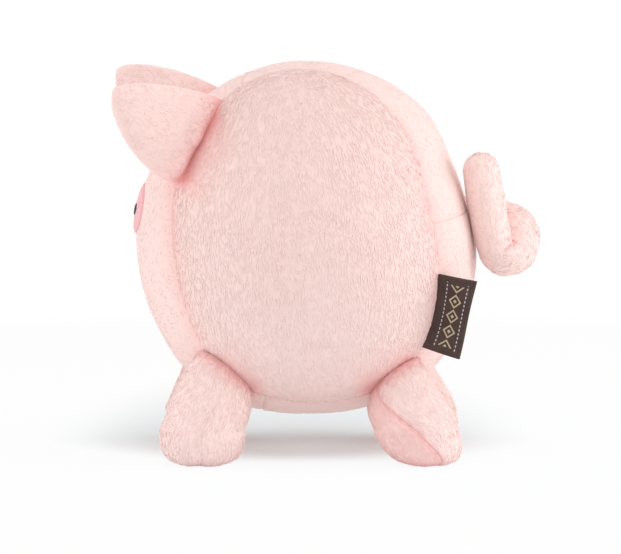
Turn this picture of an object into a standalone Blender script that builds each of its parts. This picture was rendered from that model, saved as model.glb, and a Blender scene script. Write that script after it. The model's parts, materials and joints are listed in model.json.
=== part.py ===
"""A plush pig: a round stuffed body with four stub legs, two ears, a curled tail and a sewn-in side label.

The nose points along -Y, the pig's left side is +X and the floor is z = 0.  Lengths are in metres and angles
in degrees.  The body is two side panels sewn to a gusset of three panels, and everything that moves is sewn
into the seam between them: a leg, an ear or the label swings about the chord of its stretch of seam, and the
tail wags about its root.  Each of these pieces is trimmed so that it clears the body over its whole swing.
"""

import math

import bmesh
import bpy
import numpy as np
from mathutils import Matrix, Vector

# Body, seen from the side: a rounded outline, squarer in its lower half.
BODY_LENGTH = 0.1264
BODY_HEIGHT = 0.1316
BODY_WIDTH = 0.1140
BELLY_CLEARANCE = 0.0155
UPPER_ROUNDNESS = 2.0
LOWER_ROUNDNESS = 2.4
FLANK_ROUNDNESS = 2.2
REAR_DIP = 0.0030
REAR_DIP_ANGLE = 19.0
REAR_DIP_SPREAD = 18.0

# Seam between a side panel and the gusset, as a share of the outline's radius in each direction.
SEAM_MEAN_SHARE = 0.862
SEAM_OVAL_SHARE = 0.077
SEAM_LIFT_SHARE = 0.036
SEAM_TILT_SHARE = 0.025
SEAM_DEPTH = 0.0005
SEAM_REACH = 0.0040
SEAM_GAP = 0.0004

# Directions round the body, seen from the pig's left: 0 is the tail end, 90 is up, 180 is the face.
TAIL_SEAM_ANGLE = 10.0
FOREHEAD_SEAM_ANGLE = 112.0
CHIN_SEAM_ANGLE = 255.0

PLUSH_THICKNESS = 0.0024
FIT_GAP = 0.0004
STUFFING_GAP = 0.0014
ROOT_GAP = 0.0003

# Squeaker, held between the two halves of the stuffing.
SQUEAKER_RADIUS = 0.0190
SQUEAKER_HALF_DEPTH = 0.0105
SQUEAKER_WALL = 0.0012
SQUEAKER_MOUTH_RADIUS = 0.0050
BULB_BACK_ANGLE = -72.0
POCKET_HALF_DEPTH = 0.0140
REED_FLANGE_RADIUS = 0.0068
REED_FLANGE_HEIGHT = 0.0012
REED_BORE_RADIUS = 0.0014
REED_LENGTH = 0.0060
SQUEAKER_GAP = 0.0003

# Legs: a flat root sewn into the seam, swelling to a round foot with a flat sole.
FRONT_ROOT_ANGLES = (225.0, 250.0)
HIND_ROOT_ANGLES = (315.0, 293.0)
FRONT_FOOT_AHEAD = 0.0385
HIND_FOOT_BEHIND = 0.0408
FOOT_SPREAD = 0.0350
FRONT_FOOT_HALF_LENGTH = 0.0158
HIND_FOOT_HALF_LENGTH = 0.0158
FOOT_HALF_WIDTH = 0.0140
FOOT_CENTRE_HEIGHT = 0.0135
FOOT_ROUNDNESS = 3.0
SOLE_CUT = 0.0005
FRONT_SOLE_TRAIL = 0.0
HIND_SOLE_TRAIL = 0.0034
LEG_ROOT_HALF_THICKNESS = 0.0062
LEG_PLUSH_THICKNESS = 0.0022
LEG_SWING = (-12.0, 12.0)

# Ears: a rounded triangle sewn along the seam, its tip carried forward, up and out.  The left one lies lower
# and further out than the right one.
EAR_ROOT_ANGLES = (158.0, 121.0)
LEFT_EAR_REACH = 0.0300
LEFT_EAR_RISE = 0.0204
LEFT_EAR_SPREAD = 0.0180
RIGHT_EAR_REACH = 0.0324
RIGHT_EAR_RISE = 0.0224
RIGHT_EAR_SPREAD = 0.0125
EAR_HALF_THICKNESS = 0.0034
EAR_EDGE_HALF_THICKNESS = 0.0013
EAR_LAYER_GAP = 0.0004
EAR_CUP = 0.0030
EAR_TAPER_POWER = 1.35
EAR_TIP_POWER = 0.66
EAR_EDGE_POWER = 4
EAR_THINNING_POWER = 3
EAR_END_SHARE = 0.985
EAR_ROW_POWER = 1.3
EAR_FLOP = (-18.0, 30.0)

# Tail: a stub straight out of the back seam, one turn down and round, and a rise to a blunt tip.
TAIL_ROOT_ANGLE = 7.0
TAIL_RADIUS = 0.0068
TAIL_TIP_SHARE = 0.95
TAIL_STUB = 0.0140
TAIL_ROOT_RUN = 0.0080
TAIL_STUB_DROP = 0.0043
TAIL_STUB_SHIFT = 0.0045
TAIL_TURN_RADIUS = 0.0056
TAIL_TURN_ANGLE = 256.0
TAIL_SIDE_SHIFT = 0.0170
TAIL_RISE = 0.0356
TAIL_RISE_LEAN = 0.0058
TAIL_RISE_SHIFT = 0.0020
TAIL_EASE = 0.0044
TAIL_WALL = 0.0019
TAIL_WAG = (-3.0, 16.0)

# Side label: a woven tape folded double, its two ends caught in the seam.
LABEL_ROOT_ANGLES = (-41.0, -12.0)
LABEL_LENGTH = 0.0305
LABEL_REACH = 0.0118
LABEL_OUT_ANGLE = 22.0
LABEL_ROOT_LIFT = 0.0010
LABEL_TAPE = 0.0005
LABEL_SLOT = 0.0004
LABEL_FLAP = (-25.0, 60.0)

# Face: a padded snout with two embroidered nostrils, and two embroidered eyes above it.
SNOUT_HEIGHT_ABOVE_MIDDLE = 0.0105
SNOUT_HALF_WIDTH = 0.0165
SNOUT_HALF_HEIGHT = 0.0095
SNOUT_EDGE = 0.0010
SNOUT_DOME = 0.0016
NOSTRIL_SPACING = 0.0120
NOSTRIL_HALF_WIDTH = 0.0018
NOSTRIL_HALF_HEIGHT = 0.0028
EYE_HEIGHT_ABOVE_MIDDLE = 0.0300
EYE_SPACING = 0.0330
EYE_HALF_WIDTH = 0.0030
EYE_HALF_HEIGHT = 0.0036
STITCH_EDGE = 0.0005
STITCH_DOME = 0.0004

# Finishes: a colour as linear red, green and blue, and a roughness.
PALE_PLUSH = ((0.90, 0.60, 0.56), 0.95)
DEEP_PLUSH = ((0.80, 0.36, 0.38), 0.90)
BLACK_THREAD = ((0.012, 0.011, 0.011), 0.60)
BROWN_TAPE = ((0.055, 0.028, 0.020), 0.70)
WHITE_FIBRE = ((0.85, 0.85, 0.83), 1.00)
MILKY_PLASTIC = ((0.78, 0.80, 0.80), 0.35)
SHARP_ANGLE = 50.0

# Mesh resolution, as counts.
BODY_STEPS = 44
PANEL_ROWS = 4
GUSSET_ROWS = 8
STUFFING_STEPS = 28
STUFFING_RING_SHARES = (0.30, 0.58, 0.80, 0.93, 0.985)
POCKET_ROWS = 4
BULB_ROWS = 7
LEG_STEPS = 8
LEG_ROWS = 5
LEG_CAP_SHARES = (0.35, 0.70)
SOLE_ROWS = 3
EAR_COLUMNS = 8
EAR_ROWS = 8
TAIL_STEPS = 12
TAIL_ROWS = 23
TAIL_CAP_SHARE = 0.6
TAIL_TIP_ANGLES = (30.0, 60.0)
TAIL_TURN_POINTS = 8
TAIL_RISE_POINTS = 4
LINE_STEPS = 8
LINE_SAMPLES = 200
CORE_STEPS = 8
LABEL_ROWS = 8
PATCH_STEPS = 20
PATCH_RING_SHARES = (0.40, 0.75, 1.0)
ROOT_SEARCH_SHARES = (-0.6, 0.9)
TAIL_SEARCH_SHARES = (-1.0, 1.0)
SWING_SAMPLES = 7
BISECTIONS = 26
MERGE_DISTANCE = 1e-7


def rotation(axis, degrees):
    """The 3 by 3 matrix that turns about axis by an angle."""
    return np.array(Matrix.Rotation(math.radians(degrees), 3, Vector(axis)))


def unit(vector):
    """The vector at length one."""
    return np.asarray(vector, float) / np.linalg.norm(vector)


def blend(a, b, share):
    """The value that lies share of the way from a to b."""
    return a + (b - a) * share


class Hinge:
    """A straight hinge line of one moving body, with its range."""

    def __init__(self, point, axis, swing):
        self.point = np.asarray(point, float)
        self.axis = unit(axis)
        self.swing = swing
        angles = np.linspace(swing[0], swing[1], SWING_SAMPLES)
        self.turns = np.array([rotation(self.axis, degrees) for degrees in angles])

    def poses(self, point):
        """The point at each sampled angle of the swing."""
        return self.turns @ (point - self.point) + self.point

    def mirrored(self):
        """The same hinge on the pig's other side, turning the opposite way for the same motion."""
        flip = np.array([-1.0, 1.0, 1.0])
        return Hinge(self.point * flip, -self.axis * flip, self.swing)


# The body's surface.

BODY_CENTRE = np.array([0.0, 0.0, BELLY_CLEARANCE + BODY_HEIGHT / 2])


def outline_radius(degrees):
    """Distance from the body's centre to its side outline: a superellipse, squarer in its lower half, drawn in
    a little above the tail."""
    angle = np.radians(degrees)
    across, up = np.abs(np.cos(angle)), np.abs(np.sin(angle))
    power = np.where(np.sin(angle) >= 0, UPPER_ROUNDNESS, LOWER_ROUNDNESS)
    total = (across / (BODY_LENGTH / 2)) ** power + (up / (BODY_HEIGHT / 2)) ** power
    from_dip = (np.asarray(degrees) - REAR_DIP_ANGLE + 180) % 360 - 180
    return total ** (-1 / power) - REAR_DIP * np.exp(-((from_dip / REAR_DIP_SPREAD) ** 2))


def seam_share(degrees):
    """How far out the side panel's seam lies: an oval, taller than it is long, set a little high and tilted."""
    angle = np.radians(degrees)
    upright = SEAM_MEAN_SHARE - SEAM_OVAL_SHARE * np.cos(2 * angle) + SEAM_LIFT_SHARE * np.sin(angle)
    return upright - SEAM_TILT_SHARE * np.sin(2 * angle)


def body_point(degrees, share, inset=0.0, side=1.0):
    """A point of the body's surface, or of one sunk by inset: share is 1 on the outline and 0 on the flank."""
    angle = np.radians(degrees)
    radius = (outline_radius(degrees) - inset) * share
    lateral = np.maximum(1 - np.abs(share) ** FLANK_ROUNDNESS, 0) ** (1 / FLANK_ROUNDNESS)
    x = side * (BODY_WIDTH / 2 - inset) * lateral + 0 * radius
    return np.stack([x, radius * np.cos(angle), radius * np.sin(angle)], axis=-1) + BODY_CENTRE


def body_point_at(degrees, x, inset=0.0):
    """A point of the gusset at a lateral distance x from the middle."""
    reach = np.minimum(np.abs(x) / (BODY_WIDTH / 2 - inset), 1)
    share = (1 - reach**FLANK_ROUNDNESS) ** (1 / FLANK_ROUNDNESS)
    radius = (outline_radius(degrees) - inset) * share
    angle = np.radians(degrees)
    return np.stack([x + 0 * radius, radius * np.cos(angle), radius * np.sin(angle)], axis=-1) + BODY_CENTRE


def inside_body(points, margin):
    """Whether each point lies within the body grown by margin."""
    local = points - BODY_CENTRE
    radius = np.hypot(local[..., 1], local[..., 2])
    degrees = np.degrees(np.arctan2(local[..., 2], local[..., 1]))
    across = np.abs(local[..., 0]) / (BODY_WIDTH / 2 + margin)
    around = radius / (outline_radius(degrees) + margin)
    return across**FLANK_ROUNDNESS + around**FLANK_ROUNDNESS < 1


def seam_point(degrees, side=1.0):
    """A point on the seam of the left (side 1) or right (side -1) panel."""
    return body_point(np.asarray(degrees, float), seam_share(degrees), 0.0, side)


def leaves_body(curve, hinge, search=ROOT_SEARCH_SHARES):
    """The parameter at which curve(t) comes clear of the body at every angle of the hinge's swing."""
    low, high = search
    for _ in range(BISECTIONS):
        middle = (low + high) / 2
        point = curve(middle)
        if np.any(inside_body(hinge.poses(point), ROOT_GAP)):
            low = middle
        else:
            high = middle
    return high


# Closed meshes from grids of points.


def mesh_of(points, faces):
    """(points, faces) as one closed mesh with doubled points merged and the faces turned outwards."""
    mesh = bpy.data.meshes.new("solid")
    mesh.from_pydata([tuple(p) for p in points], [], faces)
    work = bmesh.new()
    work.from_mesh(mesh)
    bmesh.ops.remove_doubles(work, verts=work.verts, dist=MERGE_DISTANCE)
    bmesh.ops.recalc_face_normals(work, faces=work.faces)
    work.to_mesh(mesh)
    work.free()
    return mesh


def ring_solid(rings, start=None, end=None):
    """A closed solid from rings of points: both ends closed by a fan to a point, or the last ring joined to
    the first where no end points are given."""
    rings = [np.asarray(ring) for ring in rings]
    count = len(rings[0])
    points = list(np.concatenate(rings))
    faces = []
    pairs = list(zip(range(len(rings) - 1), range(1, len(rings))))
    if start is None:
        pairs.append((len(rings) - 1, 0))
    for a, b in pairs:
        for j in range(count):
            k = (j + 1) % count
            faces.append((a * count + j, a * count + k, b * count + k, b * count + j))
    for ring, tip in ((0, start), (len(rings) - 1, end)):
        if tip is None:
            continue
        points.append(np.asarray(tip))
        for j in range(count):
            faces.append((ring * count + j, ring * count + (j + 1) % count, len(points) - 1))
    return mesh_of(points, faces)


def sheet_solid(outer, inner):
    """A closed solid between two grids of points, each of the same rows and columns."""
    rows, columns = outer.shape[:2]
    points = np.concatenate([outer.reshape(-1, 3), inner.reshape(-1, 3)])
    layer = rows * columns

    def corner(row, column, side):
        return row * columns + column + side * layer

    faces = []
    for i in range(rows - 1):
        for j in range(columns - 1):
            square = [(i, j), (i, j + 1), (i + 1, j + 1), (i + 1, j)]
            faces.append([corner(r, c, 0) for r, c in square])
            faces.append([corner(r, c, 1) for r, c in reversed(square)])
    edge = [(0, j) for j in range(columns)] + [(i, columns - 1) for i in range(1, rows)]
    edge += [(rows - 1, j) for j in range(columns - 2, -1, -1)] + [(i, 0) for i in range(rows - 2, 0, -1)]
    for (r, c), (s, d) in zip(edge, edge[1:] + edge[:1]):
        faces.append([corner(r, c, 0), corner(r, c, 1), corner(s, d, 1), corner(s, d, 0)])
    return mesh_of(points, faces)


# The pieces are collected first and placed at the end.

PIECES = []
HINGES = {}


def add(name, mesh, finish, body="body"):
    """Keeps one finished mesh as a piece of a body."""
    PIECES.append((name, mesh, finish, body))


def mirror_mesh(mesh):
    """A copy of a mesh on the pig's other side."""
    copy = mesh.copy()
    copy.transform(Matrix.Diagonal((-1, 1, 1, 1)))
    copy.flip_normals()
    return copy


def add_pair(name, mesh, finish, body="body"):
    """A piece of the pig's left side, named with left, and its mirror image, named with right."""
    for side, shape in (("left", mesh), ("right", mirror_mesh(mesh))):
        add(name.replace("SIDE", side), shape, finish, body.replace("SIDE", side))


def add_hinge_pair(body, hinge):
    """The hinge of a moving body on the left, and the mirrored one on the right."""
    HINGES[body.replace("SIDE", "left")] = hinge
    HINGES[body.replace("SIDE", "right")] = hinge.mirrored()


def seam_pull(distance):
    """How deep the seam draws the plush in at a distance from it."""
    return SEAM_DEPTH * np.exp(-((distance / (SEAM_REACH / 2)) ** 2))


def side_panel():
    """The left flank: a shell from the seam in to the middle of the flank."""
    angles = np.linspace(0, 360, BODY_STEPS, endpoint=False)
    radius = outline_radius(angles)
    edge = seam_share(angles) - SEAM_GAP / 2 / radius
    distances = [0 * radius, SEAM_REACH / 2 + 0 * radius, SEAM_REACH + 0 * radius]
    field = edge * radius - SEAM_REACH
    distances += [SEAM_REACH + field * row / PANEL_ROWS for row in range(1, PANEL_ROWS)]
    outer = [body_point(angles, edge - d / radius, seam_pull(d)) for d in distances]
    inner = [body_point(angles, edge - d / radius, PLUSH_THICKNESS + 0 * d) for d in distances]
    middle = BODY_CENTRE + np.array([BODY_WIDTH / 2, 0, 0])
    sunk = BODY_CENTRE + np.array([BODY_WIDTH / 2 - PLUSH_THICKNESS, 0, 0])
    add_pair("SIDE_side_panel", ring_solid(outer[::-1] + inner, middle, sunk), PALE_PLUSH)


def gusset_panel(name, start, end):
    """A strip of the gusset between two cross seams, from one side panel's seam to the other's."""
    half_gap = np.degrees(SEAM_GAP / 2 / outline_radius(np.array([start, end])))
    steps = round(BODY_STEPS * (end - start) / 360)
    angles = np.linspace(start + half_gap[0], end - half_gap[1], steps + 1)
    radius = outline_radius(angles)
    edge = seam_share(angles) + SEAM_GAP / 2 / radius
    shares = np.linspace(-1, 1, GUSSET_ROWS + 1)
    beside_seam = SEAM_REACH / 2 / np.mean(body_point(angles, edge)[:, 0])
    shares = np.concatenate([[-1, -1 + beside_seam], shares[1:-1], [1 - beside_seam, 1]])
    outer, inner = [], []
    for share in shares:
        pull = seam_pull(body_point(angles, edge)[:, 0] * (1 - abs(share)))
        for grid, inset in ((outer, pull), (inner, PLUSH_THICKNESS + 0 * pull)):
            grid.append(body_point_at(angles, body_point(angles, edge, inset)[:, 0] * share, inset))
    add(name, sheet_solid(np.array(outer), np.array(inner)), PALE_PLUSH)


def body_stuffing():
    """The left half of the stuffing: a half body with a pocket for the squeaker in its flat face."""
    angles = np.linspace(0, 360, STUFFING_STEPS, endpoint=False)
    inset = PLUSH_THICKNESS + STUFFING_GAP
    flat_x = SEAM_GAP / 2
    reach = BODY_WIDTH / 2 - inset
    top_share = (1 - (flat_x / reach) ** FLANK_ROUNDNESS) ** (1 / FLANK_ROUNDNESS)
    shares = (*STUFFING_RING_SHARES, top_share)
    outer = [body_point(angles, share + 0 * angles, inset) for share in shares]
    pocket = []
    for turn in np.linspace(0, 90, POCKET_ROWS, endpoint=False):
        radius = (SQUEAKER_RADIUS + SQUEAKER_GAP) * math.cos(math.radians(turn))
        depth = flat_x + (POCKET_HALF_DEPTH - flat_x) * math.sin(math.radians(turn))
        around = np.radians(angles)
        ring = np.stack([depth + 0 * around, radius * np.cos(around), radius * np.sin(around)], axis=-1)
        pocket.append(ring + BODY_CENTRE)
    pole = BODY_CENTRE + np.array([reach, 0, 0])
    bottom = BODY_CENTRE + np.array([POCKET_HALF_DEPTH, 0, 0])
    mesh = ring_solid(outer + pocket, pole, bottom)
    add_pair("body_stuffing_SIDE", mesh, WHITE_FIBRE)


def turned(profile, steps, start=None, end=None):
    """A solid turned about the squeaker's axis, which runs across the pig, from (x, radius) points."""
    around = np.linspace(0, 2 * math.pi, steps, endpoint=False)
    rings = []
    for x, radius in profile:
        ring = np.stack([x + 0 * around, radius * np.cos(around), radius * np.sin(around)], axis=-1)
        rings.append(ring + BODY_CENTRE)
    tips = [None if x is None else BODY_CENTRE + np.array([x, 0, 0]) for x in (start, end)]
    return ring_solid(rings, *tips)


def squeaker():
    """A hollow bulb with a mouth on its left, and the reed that is pushed into the mouth."""
    inner_radius = SQUEAKER_RADIUS - SQUEAKER_WALL
    inner_depth = SQUEAKER_HALF_DEPTH - SQUEAKER_WALL
    mouth_turn = math.degrees(math.acos(SQUEAKER_MOUTH_RADIUS / SQUEAKER_RADIUS))
    turns = np.linspace(BULB_BACK_ANGLE, mouth_turn, BULB_ROWS + 1)
    outer, inner = [], []
    for turn in turns:
        angle = math.radians(turn)
        outer.append((SQUEAKER_HALF_DEPTH * math.sin(angle), SQUEAKER_RADIUS * math.cos(angle)))
        inner.append((inner_depth * math.sin(angle), inner_radius * math.cos(angle)))
    inner[-1] = (inner[-1][0], SQUEAKER_MOUTH_RADIUS)
    mesh = turned(outer + inner[::-1], PATCH_STEPS, -SQUEAKER_HALF_DEPTH, -inner_depth)
    add("squeaker_bulb", mesh, MILKY_PLASTIC)
    seat = outer[-1][0] + SQUEAKER_GAP
    top = seat + REED_FLANGE_HEIGHT
    barrel = SQUEAKER_MOUTH_RADIUS - SQUEAKER_GAP
    profile = [(top, REED_BORE_RADIUS), (top, REED_FLANGE_RADIUS), (seat, REED_FLANGE_RADIUS)]
    profile += [(seat, barrel), (seat - REED_LENGTH, barrel), (seat - REED_LENGTH, REED_BORE_RADIUS)]
    add("squeaker_reed", turned(profile, PATCH_STEPS), MILKY_PLASTIC)


class Leg:
    """One left leg: a pod whose rings turn from the seam's direction at the root to the floor's at the foot."""

    def __init__(self, root_angles, foot_y, foot_half_length, sole_trail):
        upper, lower = seam_point(root_angles[0]), seam_point(root_angles[1])
        self.root = (upper + lower) / 2
        self.along = unit(lower - upper)
        self.root_half_length = np.linalg.norm(lower - upper) / 2
        self.foot = np.array([FOOT_SPREAD, foot_y, FOOT_CENTRE_HEIGHT])
        self.foot_half_length = foot_half_length
        self.sole_shift = np.array([0, sole_trail, 0])
        self.across = unit(np.cross(self.along, self.foot - self.root))
        self.across *= np.sign(self.across[0])
        self.fore_aft = np.array([0.0, np.sign(self.along[1]), 0.0])
        middle = seam_point(np.mean(root_angles))
        self.hinge = Hinge(blend(self.root, middle, 0.5), self.along, LEG_SWING)

    def point(self, t, degrees, inset):
        """A point of the leg: t is 0 at the root, 1 at the foot's middle and 2 under the sole."""
        swell = math.sin(math.radians(90) * min(max(t, 0), 1))
        length = blend(self.root_half_length, self.foot_half_length, swell) - inset
        width = blend(LEG_ROOT_HALF_THICKNESS, FOOT_HALF_WIDTH, swell) - inset
        along = unit(blend(self.along, self.fore_aft, swell))
        across = unit(blend(self.across, np.array([1.0, 0, 0]), swell))
        angle = math.radians(degrees)
        offset = along * length * math.cos(angle) + across * width * math.sin(angle)
        if t <= 1:
            return blend(self.root, self.foot, t) + offset
        turn = math.radians(90) * (t - 1)
        spread = math.cos(turn) ** (2 / FOOT_ROUNDNESS) if t < 2 else 0.0
        depth = (FOOT_CENTRE_HEIGHT + SOLE_CUT - inset) * math.sin(turn) ** (2 / FOOT_ROUNDNESS)
        depth = min(depth, FOOT_CENTRE_HEIGHT - inset)
        return self.foot + offset * spread + self.sole_shift * math.sin(turn) - np.array([0, 0, depth])

    def column(self, degrees, inset, from_root=1.0):
        """One line of the leg from its trimmed root to the sole; from_root shrinks it towards the axis."""

        def curve(t):
            axis = blend(self.root, self.foot, t)
            return axis + (self.point(t, degrees, inset) - axis) * from_root

        start = leaves_body(curve, self.hinge)
        if from_root < 1:
            return curve(start)
        wall = np.linspace(start, 1, LEG_ROWS)
        flat_share = (FOOT_CENTRE_HEIGHT - inset) / (FOOT_CENTRE_HEIGHT + SOLE_CUT - inset)
        flat = 1 + math.degrees(math.asin(flat_share ** (FOOT_ROUNDNESS / 2))) / 90
        sole = np.linspace(1, flat, SOLE_ROWS + 1)[1:]
        return [self.point(t, degrees, inset) for t in (*wall, *sole, 2)]

    def half_panel(self, start):
        """The plush over half of the leg, from the angle start round to the seam on the other side."""
        angles = np.linspace(start, start + 180, LEG_STEPS + 1)
        outer = np.array([self.column(a, 0.0) for a in angles])
        inner = np.array([self.column(a, LEG_PLUSH_THICKNESS) for a in angles])
        middle = self.fore_aft * math.cos(math.radians(start + 90)) * SEAM_GAP / 2
        return sheet_solid(outer + middle, inner + middle)

    def stuffing(self):
        """The stuffing inside the two panels, with its root end hollowed to the body's surface."""
        inset = LEG_PLUSH_THICKNESS + FIT_GAP
        angles = np.linspace(0, 360, 2 * LEG_STEPS, endpoint=False)
        rows = np.array([self.column(a, inset) for a in angles]).transpose(1, 0, 2)
        cap = [np.array([self.column(a, inset, share) for a in angles]) for share in LEG_CAP_SHARES]
        tip = self.column(0.0, inset, 0.0)
        return ring_solid(cap + list(rows[:-1]), tip, rows[-1][0])


def legs():
    """Two front and two hind legs, each of a front panel, a rear panel and stuffing."""
    front = Leg(FRONT_ROOT_ANGLES, -FRONT_FOOT_AHEAD, FRONT_FOOT_HALF_LENGTH, FRONT_SOLE_TRAIL)
    hind = Leg(HIND_ROOT_ANGLES, HIND_FOOT_BEHIND, HIND_FOOT_HALF_LENGTH, HIND_SOLE_TRAIL)
    for end, leg in (("front", front), ("hind", hind)):
        body = f"{end}_SIDE_leg"
        ahead, behind = (90, -90) if leg.fore_aft[1] > 0 else (-90, 90)
        add_pair(f"{body}_front_panel", leg.half_panel(ahead), PALE_PLUSH, body)
        add_pair(f"{body}_rear_panel", leg.half_panel(behind), PALE_PLUSH, body)
        add_pair(f"{body}_stuffing", leg.stuffing(), WHITE_FIBRE, body)
        add_hinge_pair(body, leg.hinge)


class Ear:
    """One ear, worked out on the left: two panels back to back, sewn along a stretch of the seam."""

    def __init__(self, spread, reach, rise):
        self.bottom, self.top = (seam_point(angle) for angle in EAR_ROOT_ANGLES)
        self.root = (self.bottom + self.top) / 2
        self.half = (self.top - self.bottom) / 2
        self.reach = np.array([spread, -reach, rise])
        self.normal = unit(np.cross(self.half, self.reach))
        self.normal *= np.sign(self.normal[0])
        middle = seam_point(np.mean(EAR_ROOT_ANGLES))
        self.hinge = Hinge(blend(self.root, middle, 0.5), self.half, EAR_FLOP)

    def point(self, across, t, offset):
        """A point of the ear: across runs -1 to 1, t from root to tip, and offset lifts it off the middle."""
        width = (1 - max(t, 0) ** EAR_TAPER_POWER) ** EAR_TIP_POWER
        cup = EAR_CUP * (across**2 - 1) * width * math.sin(math.pi * max(t, 0) / 2)
        place = self.root + self.half * across * width + self.reach * t
        return place + self.normal * (offset - cup)

    def half_thickness(self, across, t):
        """Half of the ear's thickness: fullest in the middle of the root, thin along the edges."""
        thinning = (1 - across**EAR_EDGE_POWER) * (1 - max(t, 0) ** EAR_THINNING_POWER)
        return blend(EAR_EDGE_HALF_THICKNESS, EAR_HALF_THICKNESS, math.sqrt(thinning))

    def panel(self, side):
        """The outer (side 1) or inner (side -1) panel of the ear."""
        rows = 1 - (1 - np.linspace(0, 1, EAR_ROWS + 1)) ** EAR_ROW_POWER
        layers = []
        for surface in (self.half_thickness, lambda across, t: EAR_LAYER_GAP / 2):
            grid = []
            for across in np.linspace(-1, 1, EAR_COLUMNS + 1):

                def line(t):
                    return self.point(across, t, side * surface(across, t))

                start = leaves_body(line, self.hinge)
                grid.append([line(blend(start, EAR_END_SHARE, row)) for row in rows])
            layers.append(np.array(grid))
        return sheet_solid(*layers)


def ears():
    """Two ears, each of an outer and an inner panel."""
    left = Ear(LEFT_EAR_SPREAD, LEFT_EAR_REACH, LEFT_EAR_RISE)
    right = Ear(RIGHT_EAR_SPREAD, RIGHT_EAR_REACH, RIGHT_EAR_RISE)
    for face, side in (("outer", 1.0), ("inner", -1.0)):
        add(f"left_ear_{face}_panel", left.panel(side), PALE_PLUSH, "left_ear")
        add(f"right_ear_{face}_panel", mirror_mesh(right.panel(side)), PALE_PLUSH, "right_ear")
    HINGES["left_ear"] = left.hinge
    HINGES["right_ear"] = right.hinge.mirrored()


class Tail:
    """The tail's centre line and the tubes along it."""

    def __init__(self):
        self.root = body_point_at(TAIL_ROOT_ANGLE, 0.0)
        self.hinge = Hinge(self.root, (0, 0, 1), TAIL_WAG)
        self.follow(self.smooth(self.corners()))
        self.follow(self.eased())

    def corners(self):
        """Stub, turn and rise as points; the turn also carries the tail across from right to left."""
        stub_end = self.root + np.array([-TAIL_STUB_SHIFT, TAIL_STUB, -TAIL_STUB_DROP])
        points = [self.root - np.array([0, TAIL_STUB, 0]), self.root, stub_end]
        centre = stub_end - np.array([0, 0, TAIL_TURN_RADIUS])
        for share in np.linspace(0, 1, TAIL_TURN_POINTS + 1)[1:]:
            turn = math.radians(90 - TAIL_TURN_ANGLE * share)
            along, up = TAIL_TURN_RADIUS * math.cos(turn), TAIL_TURN_RADIUS * math.sin(turn)
            points.append(centre + np.array([TAIL_SIDE_SHIFT * share, along, up]))
        turn_end = points[-1]
        for share in np.linspace(0, 1, TAIL_RISE_POINTS + 1)[1:]:
            points.append(turn_end + np.array([TAIL_RISE_SHIFT, -TAIL_RISE_LEAN, TAIL_RISE]) * share)
        return np.array(points)

    @staticmethod
    def smooth(points):
        """A smooth line through the points: a Catmull-Rom curve sampled evenly."""
        padded = np.concatenate([[2 * points[0] - points[1]], points, [2 * points[-1] - points[-2]]])
        line = []
        for a, b, c, d in zip(padded, padded[1:], padded[2:], padded[3:]):
            for t in np.linspace(0, 1, LINE_STEPS, endpoint=False):
                cubic = 2 * b + (c - a) * t + (2 * a - 5 * b + 4 * c - d) * t**2
                line.append((cubic + (3 * b - a - 3 * c + d) * t**3) / 2)
        return np.array(line + [points[-1]])

    def follow(self, line):
        """Takes a line of points as the centre line, and measures along it."""
        self.line = line
        self.reach = np.concatenate([[0], np.cumsum(np.linalg.norm(np.diff(line, axis=0), axis=1))])
        self.length = self.reach[-1]

    def eased(self):
        """The centre line with its corners rounded: each point is the mean of its neighbours, weighted by a bell
        of width TAIL_EASE, and both ends run on straight."""
        places = np.linspace(0, self.length, LINE_SAMPLES)
        even = np.array([self.at(place)[0] for place in places])
        before, after = 2 * even[0] - even[:0:-1], 2 * even[-1] - even[-2::-1]
        longer = np.concatenate([before, even, after])
        away = places[:, None] - (np.arange(len(longer)) - len(before)) * places[1]
        weight = np.exp(-((away / TAIL_EASE) ** 2) / 2)
        return weight @ longer / weight.sum(axis=1, keepdims=True)

    def at(self, distance):
        """The centre line's point and direction at a distance along it."""
        step = self.length / LINE_SAMPLES
        here, there = (
            np.array([np.interp(d, self.reach, self.line[:, k]) for k in range(3)])
            for d in (max(distance - step, 0), min(distance + step, self.length))
        )
        return (here + there) / 2, unit(there - here)

    def tube(self, inset, steps):
        """Rings of a tube of the tail's radius less inset, from its trimmed root to its blunt tip."""
        side = np.array([1.0, 0, 0])
        start = TAIL_STUB + TAIL_ROOT_RUN
        end = self.length - TAIL_TIP_SHARE * TAIL_RADIUS
        around = np.linspace(0, 2 * math.pi, steps, endpoint=False)
        rings = []
        for distance in np.linspace(start, end, TAIL_ROWS):
            centre, ahead = self.at(distance)
            side = unit(side - ahead * (side @ ahead))
            share = (distance - start) / (end - start)
            radius = TAIL_RADIUS * blend(1, TAIL_TIP_SHARE, share**2) - inset
            circle = np.outer(np.cos(around), side) + np.outer(np.sin(around), np.cross(ahead, side))
            rings.append(centre + radius * circle)
        for turn in TAIL_TIP_ANGLES:
            lift, shrink = math.sin(math.radians(turn)), math.cos(math.radians(turn))
            rings.append(centre + radius * (ahead * lift + circle * shrink))
        return [self.root_ring(rings[0], 1.0)] + rings, centre + ahead * radius

    def root_ring(self, ring, share):
        """The ring, drawn towards its middle by share, slid back along the tail to the body's surface."""
        back = self.at(TAIL_STUB + TAIL_ROOT_RUN)[1] * TAIL_ROOT_RUN
        points = []
        for corner in blend(ring.mean(axis=0), ring, share):
            clear = leaves_body(lambda t: corner + back * (t - 1), self.hinge, TAIL_SEARCH_SHARES)
            points.append(corner + back * (clear - 1))
        return np.array(points)


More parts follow.
